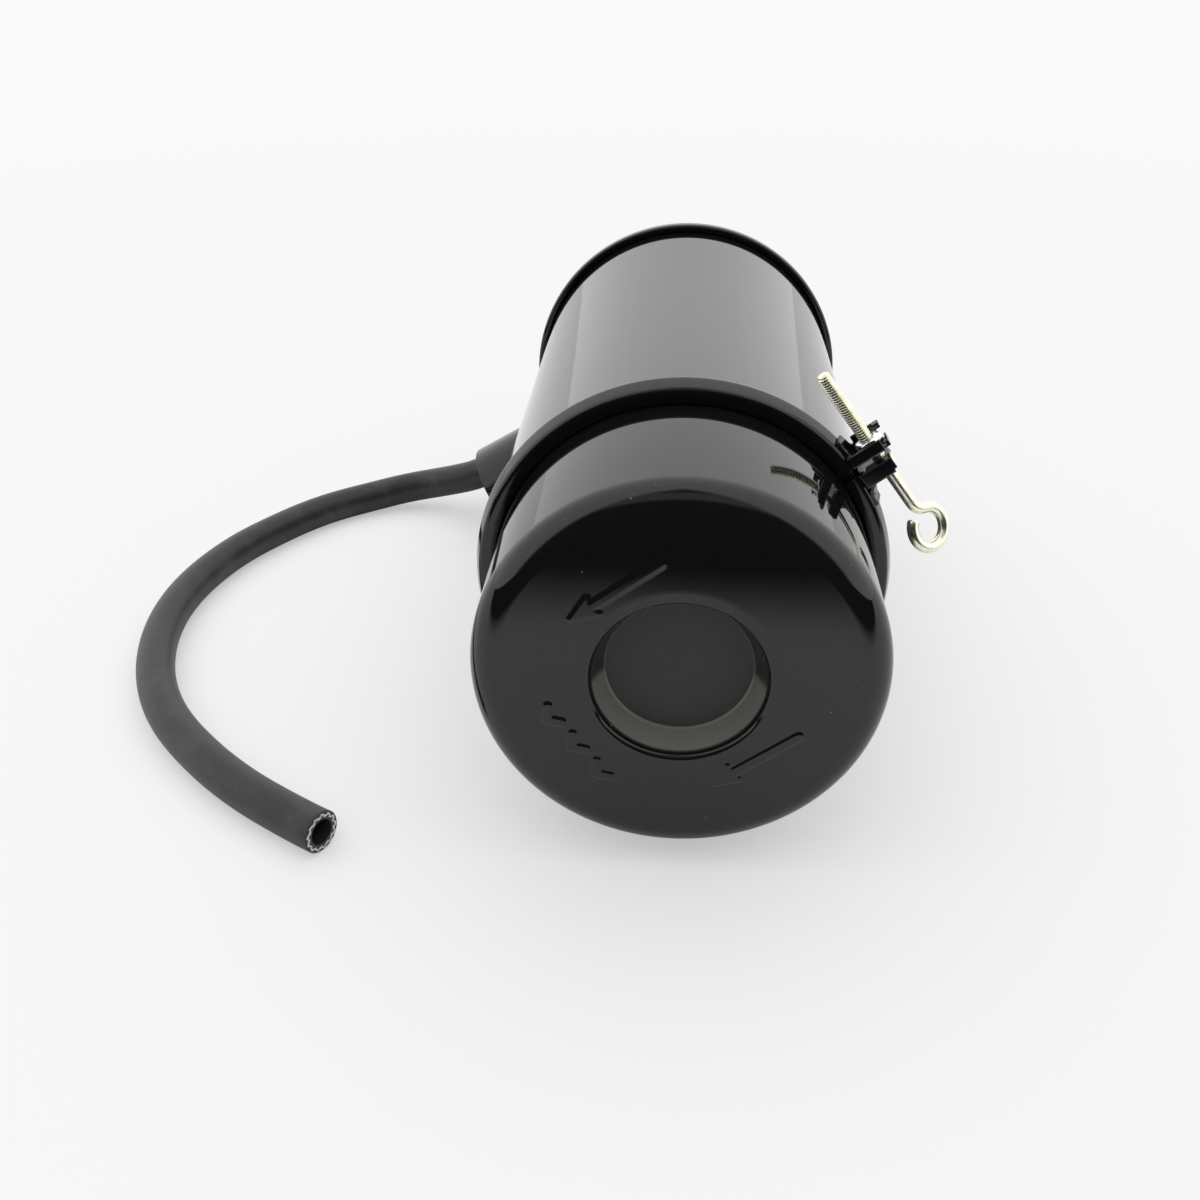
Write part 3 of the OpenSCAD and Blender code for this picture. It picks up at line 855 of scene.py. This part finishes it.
def addBox(work, low, high, side):
    # a block between two corners; side is -1 on the nut's side of the gap and 1 on the bolt's
    points = [(x * side, y, z) for x, y, z in itertools.product(*zip(low, high))]
    addFaces(work, points, ((0, 1, 3, 2), (4, 6, 7, 5), (0, 4, 5, 1), (2, 3, 7, 6), (0, 2, 6, 4),
                            (1, 5, 7, 3)))


def addSheet(work, line, start, end, thick, side):
    # a bent sheet whose middle follows the (x, y) line, with its half width at both ends
    points = []
    for n, p in enumerate(line):
        before, after = Vector(line[max(n - 1, 0)]), Vector(line[min(n + 1, len(line) - 1)])
        d = (after - before).normalized()
        normal = Vector((-d.y, d.x)) * thick / 2
        half = start + (end - start) * n / (len(line) - 1)
        for sign, z in ((1, -half), (1, half), (-1, half), (-1, -half)):
            q = Vector(p) + normal * sign
            points.append((q.x * side, q.y, z))
    last = len(points) - 4
    addFaces(work, points, ringFaces(len(line), 4, False) + [(3, 2, 1, 0), tuple(range(last, last + 4))])


def addFoot(work, side):
    # a strip that follows the band round, away from the gap
    radius, gap = seamRadius + ears["footLift"], ears["gap"] / 2
    line = [(radius * math.sin(a), radius * math.cos(a))
            for a in np.linspace(math.asin(gap / radius), math.asin((gap + ears["foot"]) / radius), 14)]
    addSheet(work, line, ears["footHalf"], ears["footEnd"], ears["footSheet"], side)


def addNeck(work, x, start, end, side):
    # a sheet that bends a quarter turn, from the wall at x down onto the band
    reach, rise = ears["neckReach"], ears["neckRise"]
    foot = math.sqrt((seamRadius + ears["neckLift"]) ** 2 - (x + reach) ** 2)
    line = [(x + reach * (1 - math.cos(t)), foot + rise * (1 - math.sin(t)))
            for t in np.linspace(0.0, math.pi / 2, 12)]
    addSheet(work, line, start, end, ears["sheet"], side)


def finishEar(name, work, reach):
    # the joined plates are melted into one painted skin, then bored for the bolt
    for v in work.verts:
        # the band slopes down towards the cup, and so does what stands on it
        place = v.co / mm - clampMiddle
        share = min(max(place.dot(forward) / (bandRear - bandFront) + 0.5, 0.0), 1.0)
        low = min(max(1 - (place.length - seamRadius) / ears["slopeReach"], 0.0), 1.0)
        v.co -= outward * clampBand["slope"] * share * low * mm
    bmesh.ops.recalc_face_normals(work, faces=work.faces)
    mesh = bpy.data.meshes.new(name)
    work.to_mesh(mesh)
    work.free()
    obj = bpy.data.objects.new(name, mesh)
    scene.collection.objects.link(obj)
    skin = obj.modifiers.new("skin", "REMESH")
    skin.mode = "VOXEL"
    skin.voxel_size = ears["voxel"] * mm
    soft = obj.modifiers.new("soft", "SMOOTH")
    soft.factor = 0.5
    soft.iterations = ears["rounds"]
    plainMesh(obj)
    bore = [boltPlace(-reach, 0), boltPlace(reach, 0)]
    cutWith(obj, meshPiece("earHole", *tubePoints(bore, [ears["hole"]] * 2, 48), lugEnamel))
    obj.data.materials.clear()
    obj.data.materials.append(lugEnamel)
    smoothMesh(obj.data, 60.0)
    return obj


def makeNutEar():
    sheet, half, start, base = ears["sheet"], ears["nutHalf"], ears["gap"] / 2, earBase
    inner, back = ears["socketSpace"] / 2, start + ears["socketDepth"]
    work = bmesh.new()
    addFoot(work, -1)
    addBox(work, (start, base, -half), (start + sheet, earTop, half), -1)
    addBox(work, (start, base, -inner - sheet), (back, earTop, -inner), -1)
    addBox(work, (start, base, inner), (back, earTop, inner + sheet), -1)
    # the lip over the nut, its curled outer edge and the tab behind the nut
    lip, (low, high) = ears["lipSheet"], (half * share for share in ears["lipSides"])
    addBox(work, (start, lipTop - lip, low), (start + ears["lipLong"], lipTop, high), -1)
    addBox(work, (start, earTop - 1.0, low), (start + lip, lipTop, high), -1)
    addNeck(work, start + sheet * 0.5, half, half * 0.58, -1)
    tab, end = ears["tabSheet"], back + ears["tabLong"]
    addBox(work, (back - 0.5, base + 2.0, -half), (end, lipTop - 0.6, tab - half), -1)
    addBox(work, (end - tab, lipTop - 3.6, -half), (end, lipTop - 0.2, ears["tabWide"] - half), -1)
    obj = finishEar("nutEar", work, start + sheet + 2.6)
    return settle(obj, "root", "enamel", "nut_ear")


def makeBoltEar():
    sheet, half, start, base = ears["sheet"], ears["boltHalf"], ears["gap"] / 2, earBase
    front = start + sheet + ears["pocket"]
    reach, slope = front + sheet, ears["slant"]
    work = bmesh.new()
    addFoot(work, 1)
    addBox(work, (start, base, -half), (start + sheet, earTop, half), 1)
    addBox(work, (front, base, -half * 0.9), (reach, earTop - slope, half * 0.9), 1)
    for low, high in ((-half, sheet - half), (half - sheet, half)):
        addBox(work, (start, base, low), (reach - slope, earTop, high), 1)
        addBox(work, (start, base, low), (reach, earTop - slope, high), 1)
    addNeck(work, reach - sheet * 0.6, half * 0.9, half * 0.52, 1)
    obj = finishEar("boltEar", work, reach + 1.0)
    return settle(obj, "clamp_end", "enamel", "bolt_ear")


nut = {"flats": 11.1, "height": 5.6, "bore": 3.2, "chamferFrom": 5.3, "chamfer": 30.0, "countersink": 0.45}


def makeNut():
    # a hexagon whose corners are cut back by a cone on both faces
    start = ears["gap"] / 2 + ears["sheet"]
    end = start + nut["height"]
    slope = math.tan(math.radians(nut["chamfer"]))
    angles = evenAngles(96)
    kinds = ("sink", "face", "side")
    loops = [(start, kind) for kind in kinds] + [(end, kind) for kind in (*kinds[::-1], "bore")]
    loops.append((start, "bore"))
    points = []
    for x, kind in loops:
        inward = 1 if x == start else -1
        for a in angles:
            flat = nut["flats"] / 2 / math.cos(a % (math.pi / 3) - math.pi / 6)
            radius, at = {
                "side": (flat, x + inward * max(0.0, flat - nut["chamferFrom"]) * slope),
                "face": (min(flat, nut["chamferFrom"]), x),
                "sink": (nut["bore"] + nut["countersink"], x),
                "bore": (nut["bore"], x + inward * nut["countersink"]),
            }[kind]
            points.append(clampPlace(-at, boltHeight + radius * math.cos(a), radius * math.sin(a)))
    obj = meshPiece("clampNut", points, ringFaces(len(loops), len(angles)), paleZinc, 20.0)
    settle(obj, "root", "zinc", "clamp_nut")


collar = {"radius": 5.75, "length": 4.0, "edge": 0.5}


def makeCollar():
    start = ears["gap"] / 2 + ears["sheet"]
    end, edge, radius, bore = start + collar["length"], collar["edge"], collar["radius"], eyeBolt["wire"]
    section = [
        (start, bore), (start, radius - edge), (start + edge, radius), (end - edge, radius),
        (end, radius - edge), (end, bore),
    ]
    angles = evenAngles(72)
    points = [boltPlace(x, r * math.cos(a), r * math.sin(a)) for x, r in section for a in angles]
    obj = meshPiece("boltCollar", points, ringFaces(len(section), len(angles)), creamZinc, 25.0)
    settle(obj, "clamp_bolt", "yellow_zinc", "bolt_collar")


eyeBolt = {
    "turn": math.radians(50.0), "thread": 3.175, "wire": 2.775, "pitch": 1.27, "tip": 46.0,
    "threadEnd": 3.5, "eyeAt": 46.0, "eyeRadius": 9.5, "neckFrom": 30.44, "neckRadius": 8.0,
    "neckTurn": 62.8, "eyeSweep": 303.0, "step": 0.1, "sides": 40, "tipChamfer": 0.9, "groove": 0.72,
}


def boltLine():
    # the wire's middle line in its own plane: shank, neck and eye
    look = eyeBolt
    line = []
    x = -look["tip"]
    while x < look["threadEnd"] + 0.6:
        line.append((x, 0.0))
        x += look["step"]
    line += [(x, 0.0) for x in np.arange(look["threadEnd"] + 1.0, look["neckFrom"], 2.0)]
    start = 90.0 + look["neckTurn"]
    neck = np.radians(np.arange(0.0, look["neckTurn"], 5.0))
    eye = np.radians(np.linspace(start, start - look["eyeSweep"], 100))
    bend, radius = look["neckRadius"], look["eyeRadius"]
    line += [(look["neckFrom"] + bend * math.sin(a), bend * (1 - math.cos(a))) for a in neck]
    return line + [(look["eyeAt"] + radius * math.cos(a), radius * math.sin(a)) for a in eye]


def newGeometryTree(name, **sizes):
    # a node tree that takes a mesh, named sizes and a material
    tree = bpy.data.node_groups.new(name, "GeometryNodeTree")
    newSocket(tree, "Geometry", "Geometry")
    for label, value in sizes.items():
        newSocket(tree, label, "Int" if isinstance(value, int) else "Float", value)
    newSocket(tree, "Material", "Material")
    newSocket(tree, "Geometry", "Geometry", way="OUTPUT")
    return tree, tree.nodes.new("NodeGroupInput").outputs


def finishTree(tree, given, geometry):
    real = addNode(tree, "GeometryNodeRealizeInstances", {0: geometry}).outputs[0]
    coated = addNode(tree, "GeometryNodeSetMaterial", {"Geometry": real, "Material": given["Material"]})
    tree.links.new(coated.outputs[0], tree.nodes.new("NodeGroupOutput").inputs[0])
    return tree


def threadTree():
    # cuts a helical groove into a bar that lies along X, fading in and out at its ends
    tree, given = newGeometryTree("threadGroove", Pitch=1.0, Depth=0.5, Start=0.0, End=1.0)
    x, y, z = partsOf(tree, addNode(tree, "GeometryNodeInputPosition").outputs[0])
    turn = maths(tree, "DIVIDE", maths(tree, "ARCTAN2", z, y), 2 * math.pi)
    phase = maths(tree, "FRACT", plus(tree, maths(tree, "DIVIDE", x, given["Pitch"]), turn))
    ridge = maths(tree, "ABSOLUTE", maths(tree, "SUBTRACT", times(tree, phase, 2.0), 1.0))

    def ramp(value, low, high, start=0.0, end=1.0):
        inputs = {"Value": value, "From Min": low, "From Max": high, "To Min": start, "To Max": end}
        return addNode(tree, "ShaderNodeMapRange", inputs).outputs[0]

    # crests and roots are flattened a little, as on a rolled thread
    amount = times(
        tree, ramp(ridge, 0.16, 0.86), given["Depth"],
        ramp(x, given["Start"], plus(tree, given["Start"], 0.8 * mm)),
        ramp(x, maths(tree, "SUBTRACT", given["End"], 1.2 * mm), given["End"], 1.0, 0.0), -1.0,
    )
    radial = addNode(tree, "ShaderNodeCombineXYZ", {0: 0.0, 1: y, 2: z}).outputs[0]
    way = addNode(tree, "ShaderNodeVectorMath", {0: radial}, operation="NORMALIZE").outputs[0]
    shift = addNode(tree, "ShaderNodeVectorMath", {0: way, "Scale": amount}, operation="SCALE").outputs[0]
    threaded = addNode(tree, "FunctionNodeCompare", {0: x, 1: given["End"]}, operation="LESS_THAN")
    moved = addNode(tree, "GeometryNodeSetPosition", {
        "Geometry": given["Geometry"], "Selection": threaded.outputs[0], "Offset": shift})
    return finishTree(tree, given, moved.outputs[0])


def useTree(obj, tree, **values):
    # gives a piece a node modifier, sets its inputs by their identifiers and bakes it
    modifier = obj.modifiers.new(tree.name, "NODES")
    modifier.node_group = tree
    for item in tree.interface.items_tree:
        if item.item_type == "SOCKET" and item.in_out == "INPUT" and item.name in values:
            modifier[item.identifier] = values[item.name]
    return plainMesh(obj)


def makeEyeBolt():
    look = eyeBolt
    line = [Vector((x, w, 0.0)) for x, w in boltLine()]
    radii = []
    for p in line:
        inThread = p.y == 0.0 and p.x < look["threadEnd"]
        tapered = look["thread"] - look["tipChamfer"] + p.x + look["tip"]
        radii.append(min(look["thread"], tapered) if inThread else look["wire"])
    # the wire's cut end is rounded a little
    radii[-2:] = [look["wire"] - 0.08, look["wire"] - 0.35]
    obj = meshPiece("eyeBolt", *tubePoints(line, radii, look["sides"]), creamZinc, 30.0)
    # the thread is cut while the bar still lies along X
    useTree(obj, threadTree(), Pitch=look["pitch"] * mm, Depth=look["groove"] * mm, Start=-look["tip"] * mm,
            End=look["threadEnd"] * mm, Material=creamZinc)
    for v in obj.data.vertices:
        v.co = boltPlace(*(v.co / mm)) * mm
    obj.data.update()
    smoothMesh(obj.data, 40.0)
    settle(obj, "clamp_bolt", "yellow_zinc", "eye_bolt")


makeNutEar()
makeBoltEar()
makeNut()
makeCollar()
makeEyeBolt()
print("clamp made")


# what is inside the canister


def repeatTree():
    # copies the given shape round the canister's axis, in rows along it
    tree, given = newGeometryTree("repeatRound", Count=1, Rows=1, RowStep=0.0)
    index = addNode(tree, "GeometryNodeInputIndex").outputs[0]
    row = maths(tree, "FLOOR", maths(tree, "DIVIDE", plus(tree, index, 0.5), given["Count"]))
    turn = maths(tree, "DIVIDE", times(tree, index, 2 * math.pi), given["Count"])
    place, euler = (addNode(tree, "ShaderNodeCombineXYZ", {0: 0.0, 1: value, 2: 0.0}).outputs[0]
                    for value in (times(tree, row, given["RowStep"]), turn))
    total = times(tree, given["Count"], given["Rows"])
    spots = addNode(tree, "GeometryNodePoints", {"Count": total, "Position": place}).outputs[0]
    rotation = addNode(tree, "FunctionNodeEulerToRotation", {0: euler}).outputs[0]
    copies = addNode(tree, "GeometryNodeInstanceOnPoints", {
        "Points": spots, "Instance": given["Geometry"], "Rotation": rotation})
    return finishTree(tree, given, copies.outputs[0])


roundTree = repeatTree()


def repeatRound(obj, material, count, rows=1, rowStep=0.0):
    useTree(obj, roundTree, Count=count, Rows=rows, RowStep=rowStep, Material=material)
    smoothMesh(obj.data, 30.0)


element = {
    "pleats": 144, "pleatSheet": 0.55, "play": 0.15, "outerCells": 40, "innerCells": 30, "cellRows": 44,
    "strand": 0.55, "linerSheet": 1.0, "crest": 1.2, "foldIn": 2.6, "foldTop": 1.9,
}


def makePleats():
    # one pleat of folded paper, then its copies round the element
    low, high = boxOf("paper_media")
    inner = boxOf("inner_liner")[1].x + element["play"]
    outer = high.x - element["play"]
    half, root = math.pi / element["pleats"], inner + element["pleatSheet"] * 0.6
    crest, fold = outer - element["crest"], outer - element["foldIn"]
    section = [
        (inner, -half), (crest, -half * 0.22), (outer, 0.0), (crest, half * 0.22), (inner, half),
        (root, half * 0.86), (fold, half * 0.1), (outer - element["foldTop"], 0.0), (fold, -half * 0.1),
        (root, -half * 0.86),
    ]
    points = [ringPoint(r, a, y) for y in (high.y, low.y) for r, a in section]
    count = len(section)
    faces = ringFaces(2, count, False)
    for k in range(count // 2 - 1):
        end = (k, count - 1 - k, count - 2 - k, k + 1)
        faces += [end, tuple(count + n for n in end[::-1])]
    obj = meshPiece("pleatedPaper", points, faces, filterPaper)
    repeatRound(obj, filterPaper, element["pleats"])
    settle(obj, "filter_element", "filter_paper", "paper_media")


def makeLiner(name, node, cells):
    # expanded metal: lozenge cells whose strands cross, copied round and along the liner
    low, high = boxOf(node)
    thick = element["linerSheet"] / 2
    radius, rows, strand = high.x - thick, element["cellRows"], element["strand"] / 2
    step = (high.y - low.y) / rows
    points, faces = [], []
    for base, drop in ((0, -step / 2), (12, step / 2)):
        points += [
            ringPoint(r, a, high.y - step / 2 + y)
            for a, middle in ((-math.pi / cells, 0.0), (0.0, drop), (math.pi / cells, 0.0))
            for r in (radius - thick * 0.6, radius + thick * 0.6)
            for y in (middle - strand, middle + strand)
        ]
        for a in (base, base + 4):
            b = a + 4
            faces += [(a, b, b + 1, a + 1), (a + 2, a + 3, b + 3, b + 2), (a, a + 2, b + 2, b),
                      (a + 1, b + 1, b + 3, a + 3)]
        faces += [(base, base + 1, base + 3, base + 2), (base + 8, base + 10, base + 11, base + 9)]
    obj = meshPiece(name, points, faces, tinPlate)
    repeatRound(obj, tinPlate, cells, rows, -step * mm)
    settle(obj, "filter_element", "tinned_steel", node)


caps = {
    "sheet": 1.2, "rimDepth": 9.4, "openBends": (1.5, 1.2, 1.2, 0.9), "closedBends": (1.5, 1.5, 1.5),
    "step": 2.2, "stepOut": 6.0, "stepIn": 3.0, "dishRadius": 44.0, "dish": 2.4, "dishEdge": 3.0,
}


def makeCaps():
    # pressed end caps with a rolled rim: the open one has a hub for its seal, the closed one a dish
    look, sheet = caps, caps["sheet"]
    low, high = boxOf("open_cap")
    rim, hub = high.x - sheet / 2, boxOf("element_seal")[1].x + sheet / 2
    back = high.y - sheet / 2
    seat = back - look["step"]
    path = [(rim, back - look["rimDepth"]), (rim, back), (hub + look["stepOut"], back),
            (hub + look["stepIn"], seat), (hub, seat), (hub, low.y)]
    outline = sheetOutline(path, look["openBends"], sheet)
    settle(spin("openCap", outline, tinPlate, 192), "filter_element", "tinned_steel", "open_cap")
    low, high = boxOf("closed_cap")
    front, dish = low.y + sheet / 2, look["dishRadius"]
    floor = front + look["dish"]
    path = [(rim, high.y), (rim, front), (dish, front), (dish - look["dishEdge"], floor), (0.0, floor)]
    outline = sheetOutline(path, look["closedBends"], sheet, roundEnd=False)
    settle(spin("closedCap", outline, tinPlate, 192), "filter_element", "tinned_steel", "closed_cap")


seal = {"ribs": 4, "ribDepth": 0.45, "grip": 0.35, "chamfer": (1.2, 0.8), "steps": 24}


def makeSeal():
    # its ribs grip the outlet tube
    low, high = boxOf("element_seal")
    inner, outer = boxOf("outlet_tube")[1].x - seal["grip"], high.x
    wide, deep = seal["chamfer"]
    outline = [(outer, low.y), (outer, high.y), (inner + wide, high.y)]
    for n in range(seal["steps"] + 1):
        share = n / seal["steps"]
        dip = seal["ribDepth"] * (1 - math.cos(2 * math.pi * seal["ribs"] * share)) / 2
        outline.append((inner + dip, high.y - deep - (high.y - low.y - deep * 2) * share))
    outline.append((inner + wide, low.y))
    settle(spin("elementSeal", outline, sealRubber, 160), "filter_element", "rubber", "element_seal")


vanes = {"count": 12, "slant": math.radians(35.0), "thick": 1.8, "taper": 0.7, "length": 20.0, "steps": 6}
sleeve = {"play": 0.1, "edge": 0.4, "beadDepth": 3.0, "bead": 1.0, "beadEdge": 0.3}
sleeveInner = boxOf("open_cap")[1].x + sleeve["play"]
sleeveOuter = sleeveInner + vanes["thick"]


def makeVaneSleeve():
    low, high = boxOf("vane_sleeve")
    inner, outer, edge = sleeveInner, sleeveOuter, sleeve["edge"]
    bead, start = outer + sleeve["bead"], high.y - sleeve["beadDepth"]
    outline = [
        (inner, low.y), (outer - edge, low.y), (outer, low.y + edge), (outer, start),
        (bead, start + edge), (bead, high.y - sleeve["beadEdge"]), (bead - sleeve["beadEdge"], high.y),
        (inner, high.y),
    ]
    settle(spin("vaneSleeve", outline, vanePlastic, 192), "filter_element", "vane_plastic", "vane_sleeve")
    # a vane is a twisted blade, thin at its outer edge
    points, faces = [], []
    slant, length, steps, thick = vanes["slant"], vanes["length"], vanes["steps"], vanes["thick"] / 2
    for n in range(steps + 1):
        rise = length * n / steps
        for r, half in ((outer - 0.3, thick), (high.x - 0.2, thick * vanes["taper"])):
            for side in (-half, half):
                a = ((rise - length / 2) * math.tan(slant) + side / math.cos(slant)) / r
                points.append(ringPoint(r, a, low.y + rise))
    for a in range(0, steps * 4, 4):
        b = a + 4
        faces += [(a, a + 1, b + 1, b), (a + 2, b + 2, b + 3, a + 3), (a, b, b + 2, a + 2),
                  (a + 1, a + 3, b + 3, b + 1)]
    faces += [(0, 2, 3, 1), tuple(steps * 4 + n for n in (0, 1, 3, 2))]
    obj = meshPiece("swirlVanes", points, faces, vanePlastic)
    repeatRound(obj, vanePlastic, vanes["count"])
    settle(obj, "filter_element", "vane_plastic")


baffle = {
    "clear": 2.5, "play": 0.2, "sheet": 1.0, "skirtBends": (1.2, 0.8), "shoulder": (1.2, 2.5),
    "overlap": (3.0, 3.2), "flangeSheet": 0.96, "flangeBends": (1.2, 1.0), "flangeFrom": -102.0,
    "flangeTo": 208.0, "edgeIn": 0.5, "edgeDrop": 1.0, "edgeDepth": 3.5, "rim": 0.45, "rimWide": 3.0,
}


def makeBaffle():
    # the flange stops at the dust slot, the skirt and the rim go all the way round
    look = baffle
    low, high = boxOf("cup_baffle")
    skirt, outer, top = sleeveOuter + look["clear"], high.x - look["play"], high.y - look["sheet"] / 2
    (wide, deep), (start, end) = look["shoulder"], look["overlap"]
    path = [(skirt, low.y), (skirt, top - deep), (skirt + wide, top), (skirt + end, top)]
    full = sheetOutline(path, look["skirtBends"], look["sheet"])
    settle(spin("baffleSkirt", full, enamel, 192), "service_cup", "enamel", "cup_baffle")
    edge, depth = outer - look["edgeIn"], look["edgeDepth"]
    path = [(skirt + start, top), (outer - depth, top), (edge, top - look["edgeDrop"]), (edge, top - depth)]
    flange = sheetOutline(path, look["flangeBends"], look["flangeSheet"])
    part = spin("baffleFlange", flange, enamel, 170, look["flangeFrom"], look["flangeTo"])
    settle(part, "service_cup", "enamel")
    inner, half = outer - look["rimWide"], look["rim"]
    rim = [(inner, top - half), (outer, top - half), (outer, top + half), (inner, top + half)]
    settle(spin("baffleRim", rim, enamel, 192), "service_cup", "enamel")


pad = {"edge": 1.0, "grooves": (24.0, 16.0, 8.0), "grooveHalf": 1.2, "grooveDepth": 0.9}


def makePad():
    low, high = boxOf("cup_pad")
    radius, edge, half = high.x, pad["edge"], pad["grooveHalf"]
    outline = [(0.0, low.y), (radius - edge, low.y), (radius, low.y + edge), (radius, high.y - edge),
               (radius - edge, high.y)]
    for r in pad["grooves"]:
        outline += [(r + half, high.y), (r, high.y - pad["grooveDepth"]), (r - half, high.y)]
    outline.append((0.0, high.y))
    settle(spin("cupPad", outline, sealRubber, 128), "service_cup", "rubber", "cup_pad")


makePleats()
makeLiner("outerLiner", "outer_liner", element["outerCells"])
makeLiner("innerLiner", "inner_liner", element["innerCells"])
makeCaps()
makeSeal()
makeVaneSleeve()
makeBaffle()
makePad()
print("inside made")


# the braid at the hose's cut end

braid = {
    "count": 13, "radius": 8.6, "layer": 0.35, "yarn": 0.5, "length": 3.4, "slant": math.radians(42.0),
    "flatten": 0.45, "proud": 0.25,
}


def makeBraid():
    # the ends of the yarns between the hose's two layers of rubber show at its cut end
    tangents, frames = transport(hoseRoute)
    out, (side, up), yarn = tangents[-1], frames[-1], braid["yarn"]
    points, faces = [], []
    for n, a in enumerate(evenAngles(braid["count"] * 2)):
        way = 1 if n % 2 else -1
        radial, around = side * math.cos(a) + up * math.sin(a), up * math.cos(a) - side * math.sin(a)
        middle = (hoseRoute[-1] + radial * (braid["radius"] + braid["layer"] * way)
                  + out * (braid["proud"] - yarn))
        lean = radial * math.sin(braid["slant"] * way) * braid["flatten"]
        lie = (around * math.cos(braid["slant"]) + lean).normalized() * braid["length"] / 2
        path = [middle + lie * s + out * yarn * (1 - s * s) * 0.6 for s in (-0.9, -0.45, 0.0, 0.45, 0.9)]
        base = len(points)
        more, sides = tubePoints(path, [yarn * s for s in (0.55, 0.95, 1.0, 0.95, 0.55)], 8)
        points += more
        faces += [[base + k for k in face] for face in sides]
    obj = meshPiece("hoseBraid", points, faces, braidYarn, 80.0)
    return settle(obj, "root", "hose_rubber")


braidPiece = makeBraid()
print("braid made")


# stage and light

stage = {
    "size": 12.0, "color": (0.90, 0.90, 0.905), "far": (0.955, 0.955, 0.96), "nearRadius": 0.7,
    "farRadius": 2.6, "dimFront": -0.68, "dimSoft": 0.05, "dim": (0.012, 0.012, 0.013), "lift": 0.46,
    "light": (0.4, 1.35), "lightRise": (0.35, 0.8), "mirror": 1.3, "room": (0.02, 0.02, 0.021),
    "band": (0.35, 0.35, 0.36), "bandRise": (0.55, 0.72), "bandFall": (0.98, 0.86),
    "roomFront": (-0.30, -0.05), "aside": 0.6,
}


def glow(tree, color, strength=1.0, kind="Emission"):
    return addNode(tree, "ShaderNode" + kind, {"Color": colorOf(color), "Strength": strength}).outputs[0]


def makeStage():
    half, look = stage["size"] / mm / 2, stage
    material = bpy.data.materials.new("paleFloor")
    tree = clearTree(material)
    place = addNode(tree, "ShaderNodeTexCoord").outputs["Object"]
    away = addNode(tree, "ShaderNodeVectorMath", {0: place}, operation="LENGTH").outputs["Value"]
    path = addNode(tree, "ShaderNodeLightPath").outputs
    paint = addNode(tree, "ShaderNodeBsdfDiffuse", {"Color": (*look["color"], 1)}).outputs[0]
    pale = glow(tree, look["far"])
    floor = mixShader(tree, rangeOf(tree, away, look["nearRadius"], look["farRadius"]), paint, pale)
    # seen straight on, the floor is a little paler than its own light makes it
    floor = mixShader(tree, times(tree, path["Is Camera Ray"], look["lift"]), floor, pale)
    # past the front edge of the lit floor, reflections see the dark room
    front, soft = look["dimFront"], look["dimSoft"]
    past = rangeOf(tree, partsOf(tree, place)["Y"], front - soft, front + soft, 1.0, 0.0)
    floor = mixShader(tree, times(tree, path["Is Glossy Ray"], past), floor, glow(tree, look["dim"]))
    addNode(tree, "ShaderNodeOutputMaterial", {"Surface": floor})
    points = [(x * half, y * half, floorHeight) for x, y in ((-1, -1), (1, -1), (1, 1), (-1, 1))]
    meshPiece("floor", points, [(0, 1, 2, 3)], material, recalc=False)


def makeSky():
    # light comes mostly from overhead; reflections see a white room behind and at the sides, and a dark one
    # in front with a pale band overhead
    look = stage
    scene.world = bpy.data.worlds.new("studio")
    tree = clearTree(scene.world)
    x, y, z = partsOf(tree, addNode(tree, "ShaderNodeTexCoord").outputs["Generated"])
    path = addNode(tree, "ShaderNodeLightPath").outputs
    seen = maths(tree, "MAXIMUM", path["Is Camera Ray"], path["Is Transmission Ray"])
    strength = rangeOf(tree, z, *look["lightRise"], *look["light"])
    ambient = glow(tree, (1, 1, 1), strength, "Background")
    depth = plus(tree, y, times(tree, maths(tree, "ABSOLUTE", x), look["aside"]))
    front = rangeOf(tree, depth, *look["roomFront"], 1.0, 0.0)
    band = times(tree, rangeOf(tree, z, *look["bandRise"]), rangeOf(tree, z, *look["bandFall"]))
    mirrored = mixColor(tree, front, look["far"], mixColor(tree, band, look["room"], look["band"]))
    mirrored = glow(tree, mirrored, look["mirror"], "Background")
    lit = mixShader(tree, path["Is Glossy Ray"], ambient, mirrored)
    sky = mixShader(tree, seen, lit, glow(tree, look["far"], 1.0, "Background"))
    addNode(tree, "ShaderNodeOutputWorld", {"Surface": sky})


makeStage()
makeSky()
print("stage made")

# the hose's route, in metres

[tuple(p * mm) for p in hoseRoute]
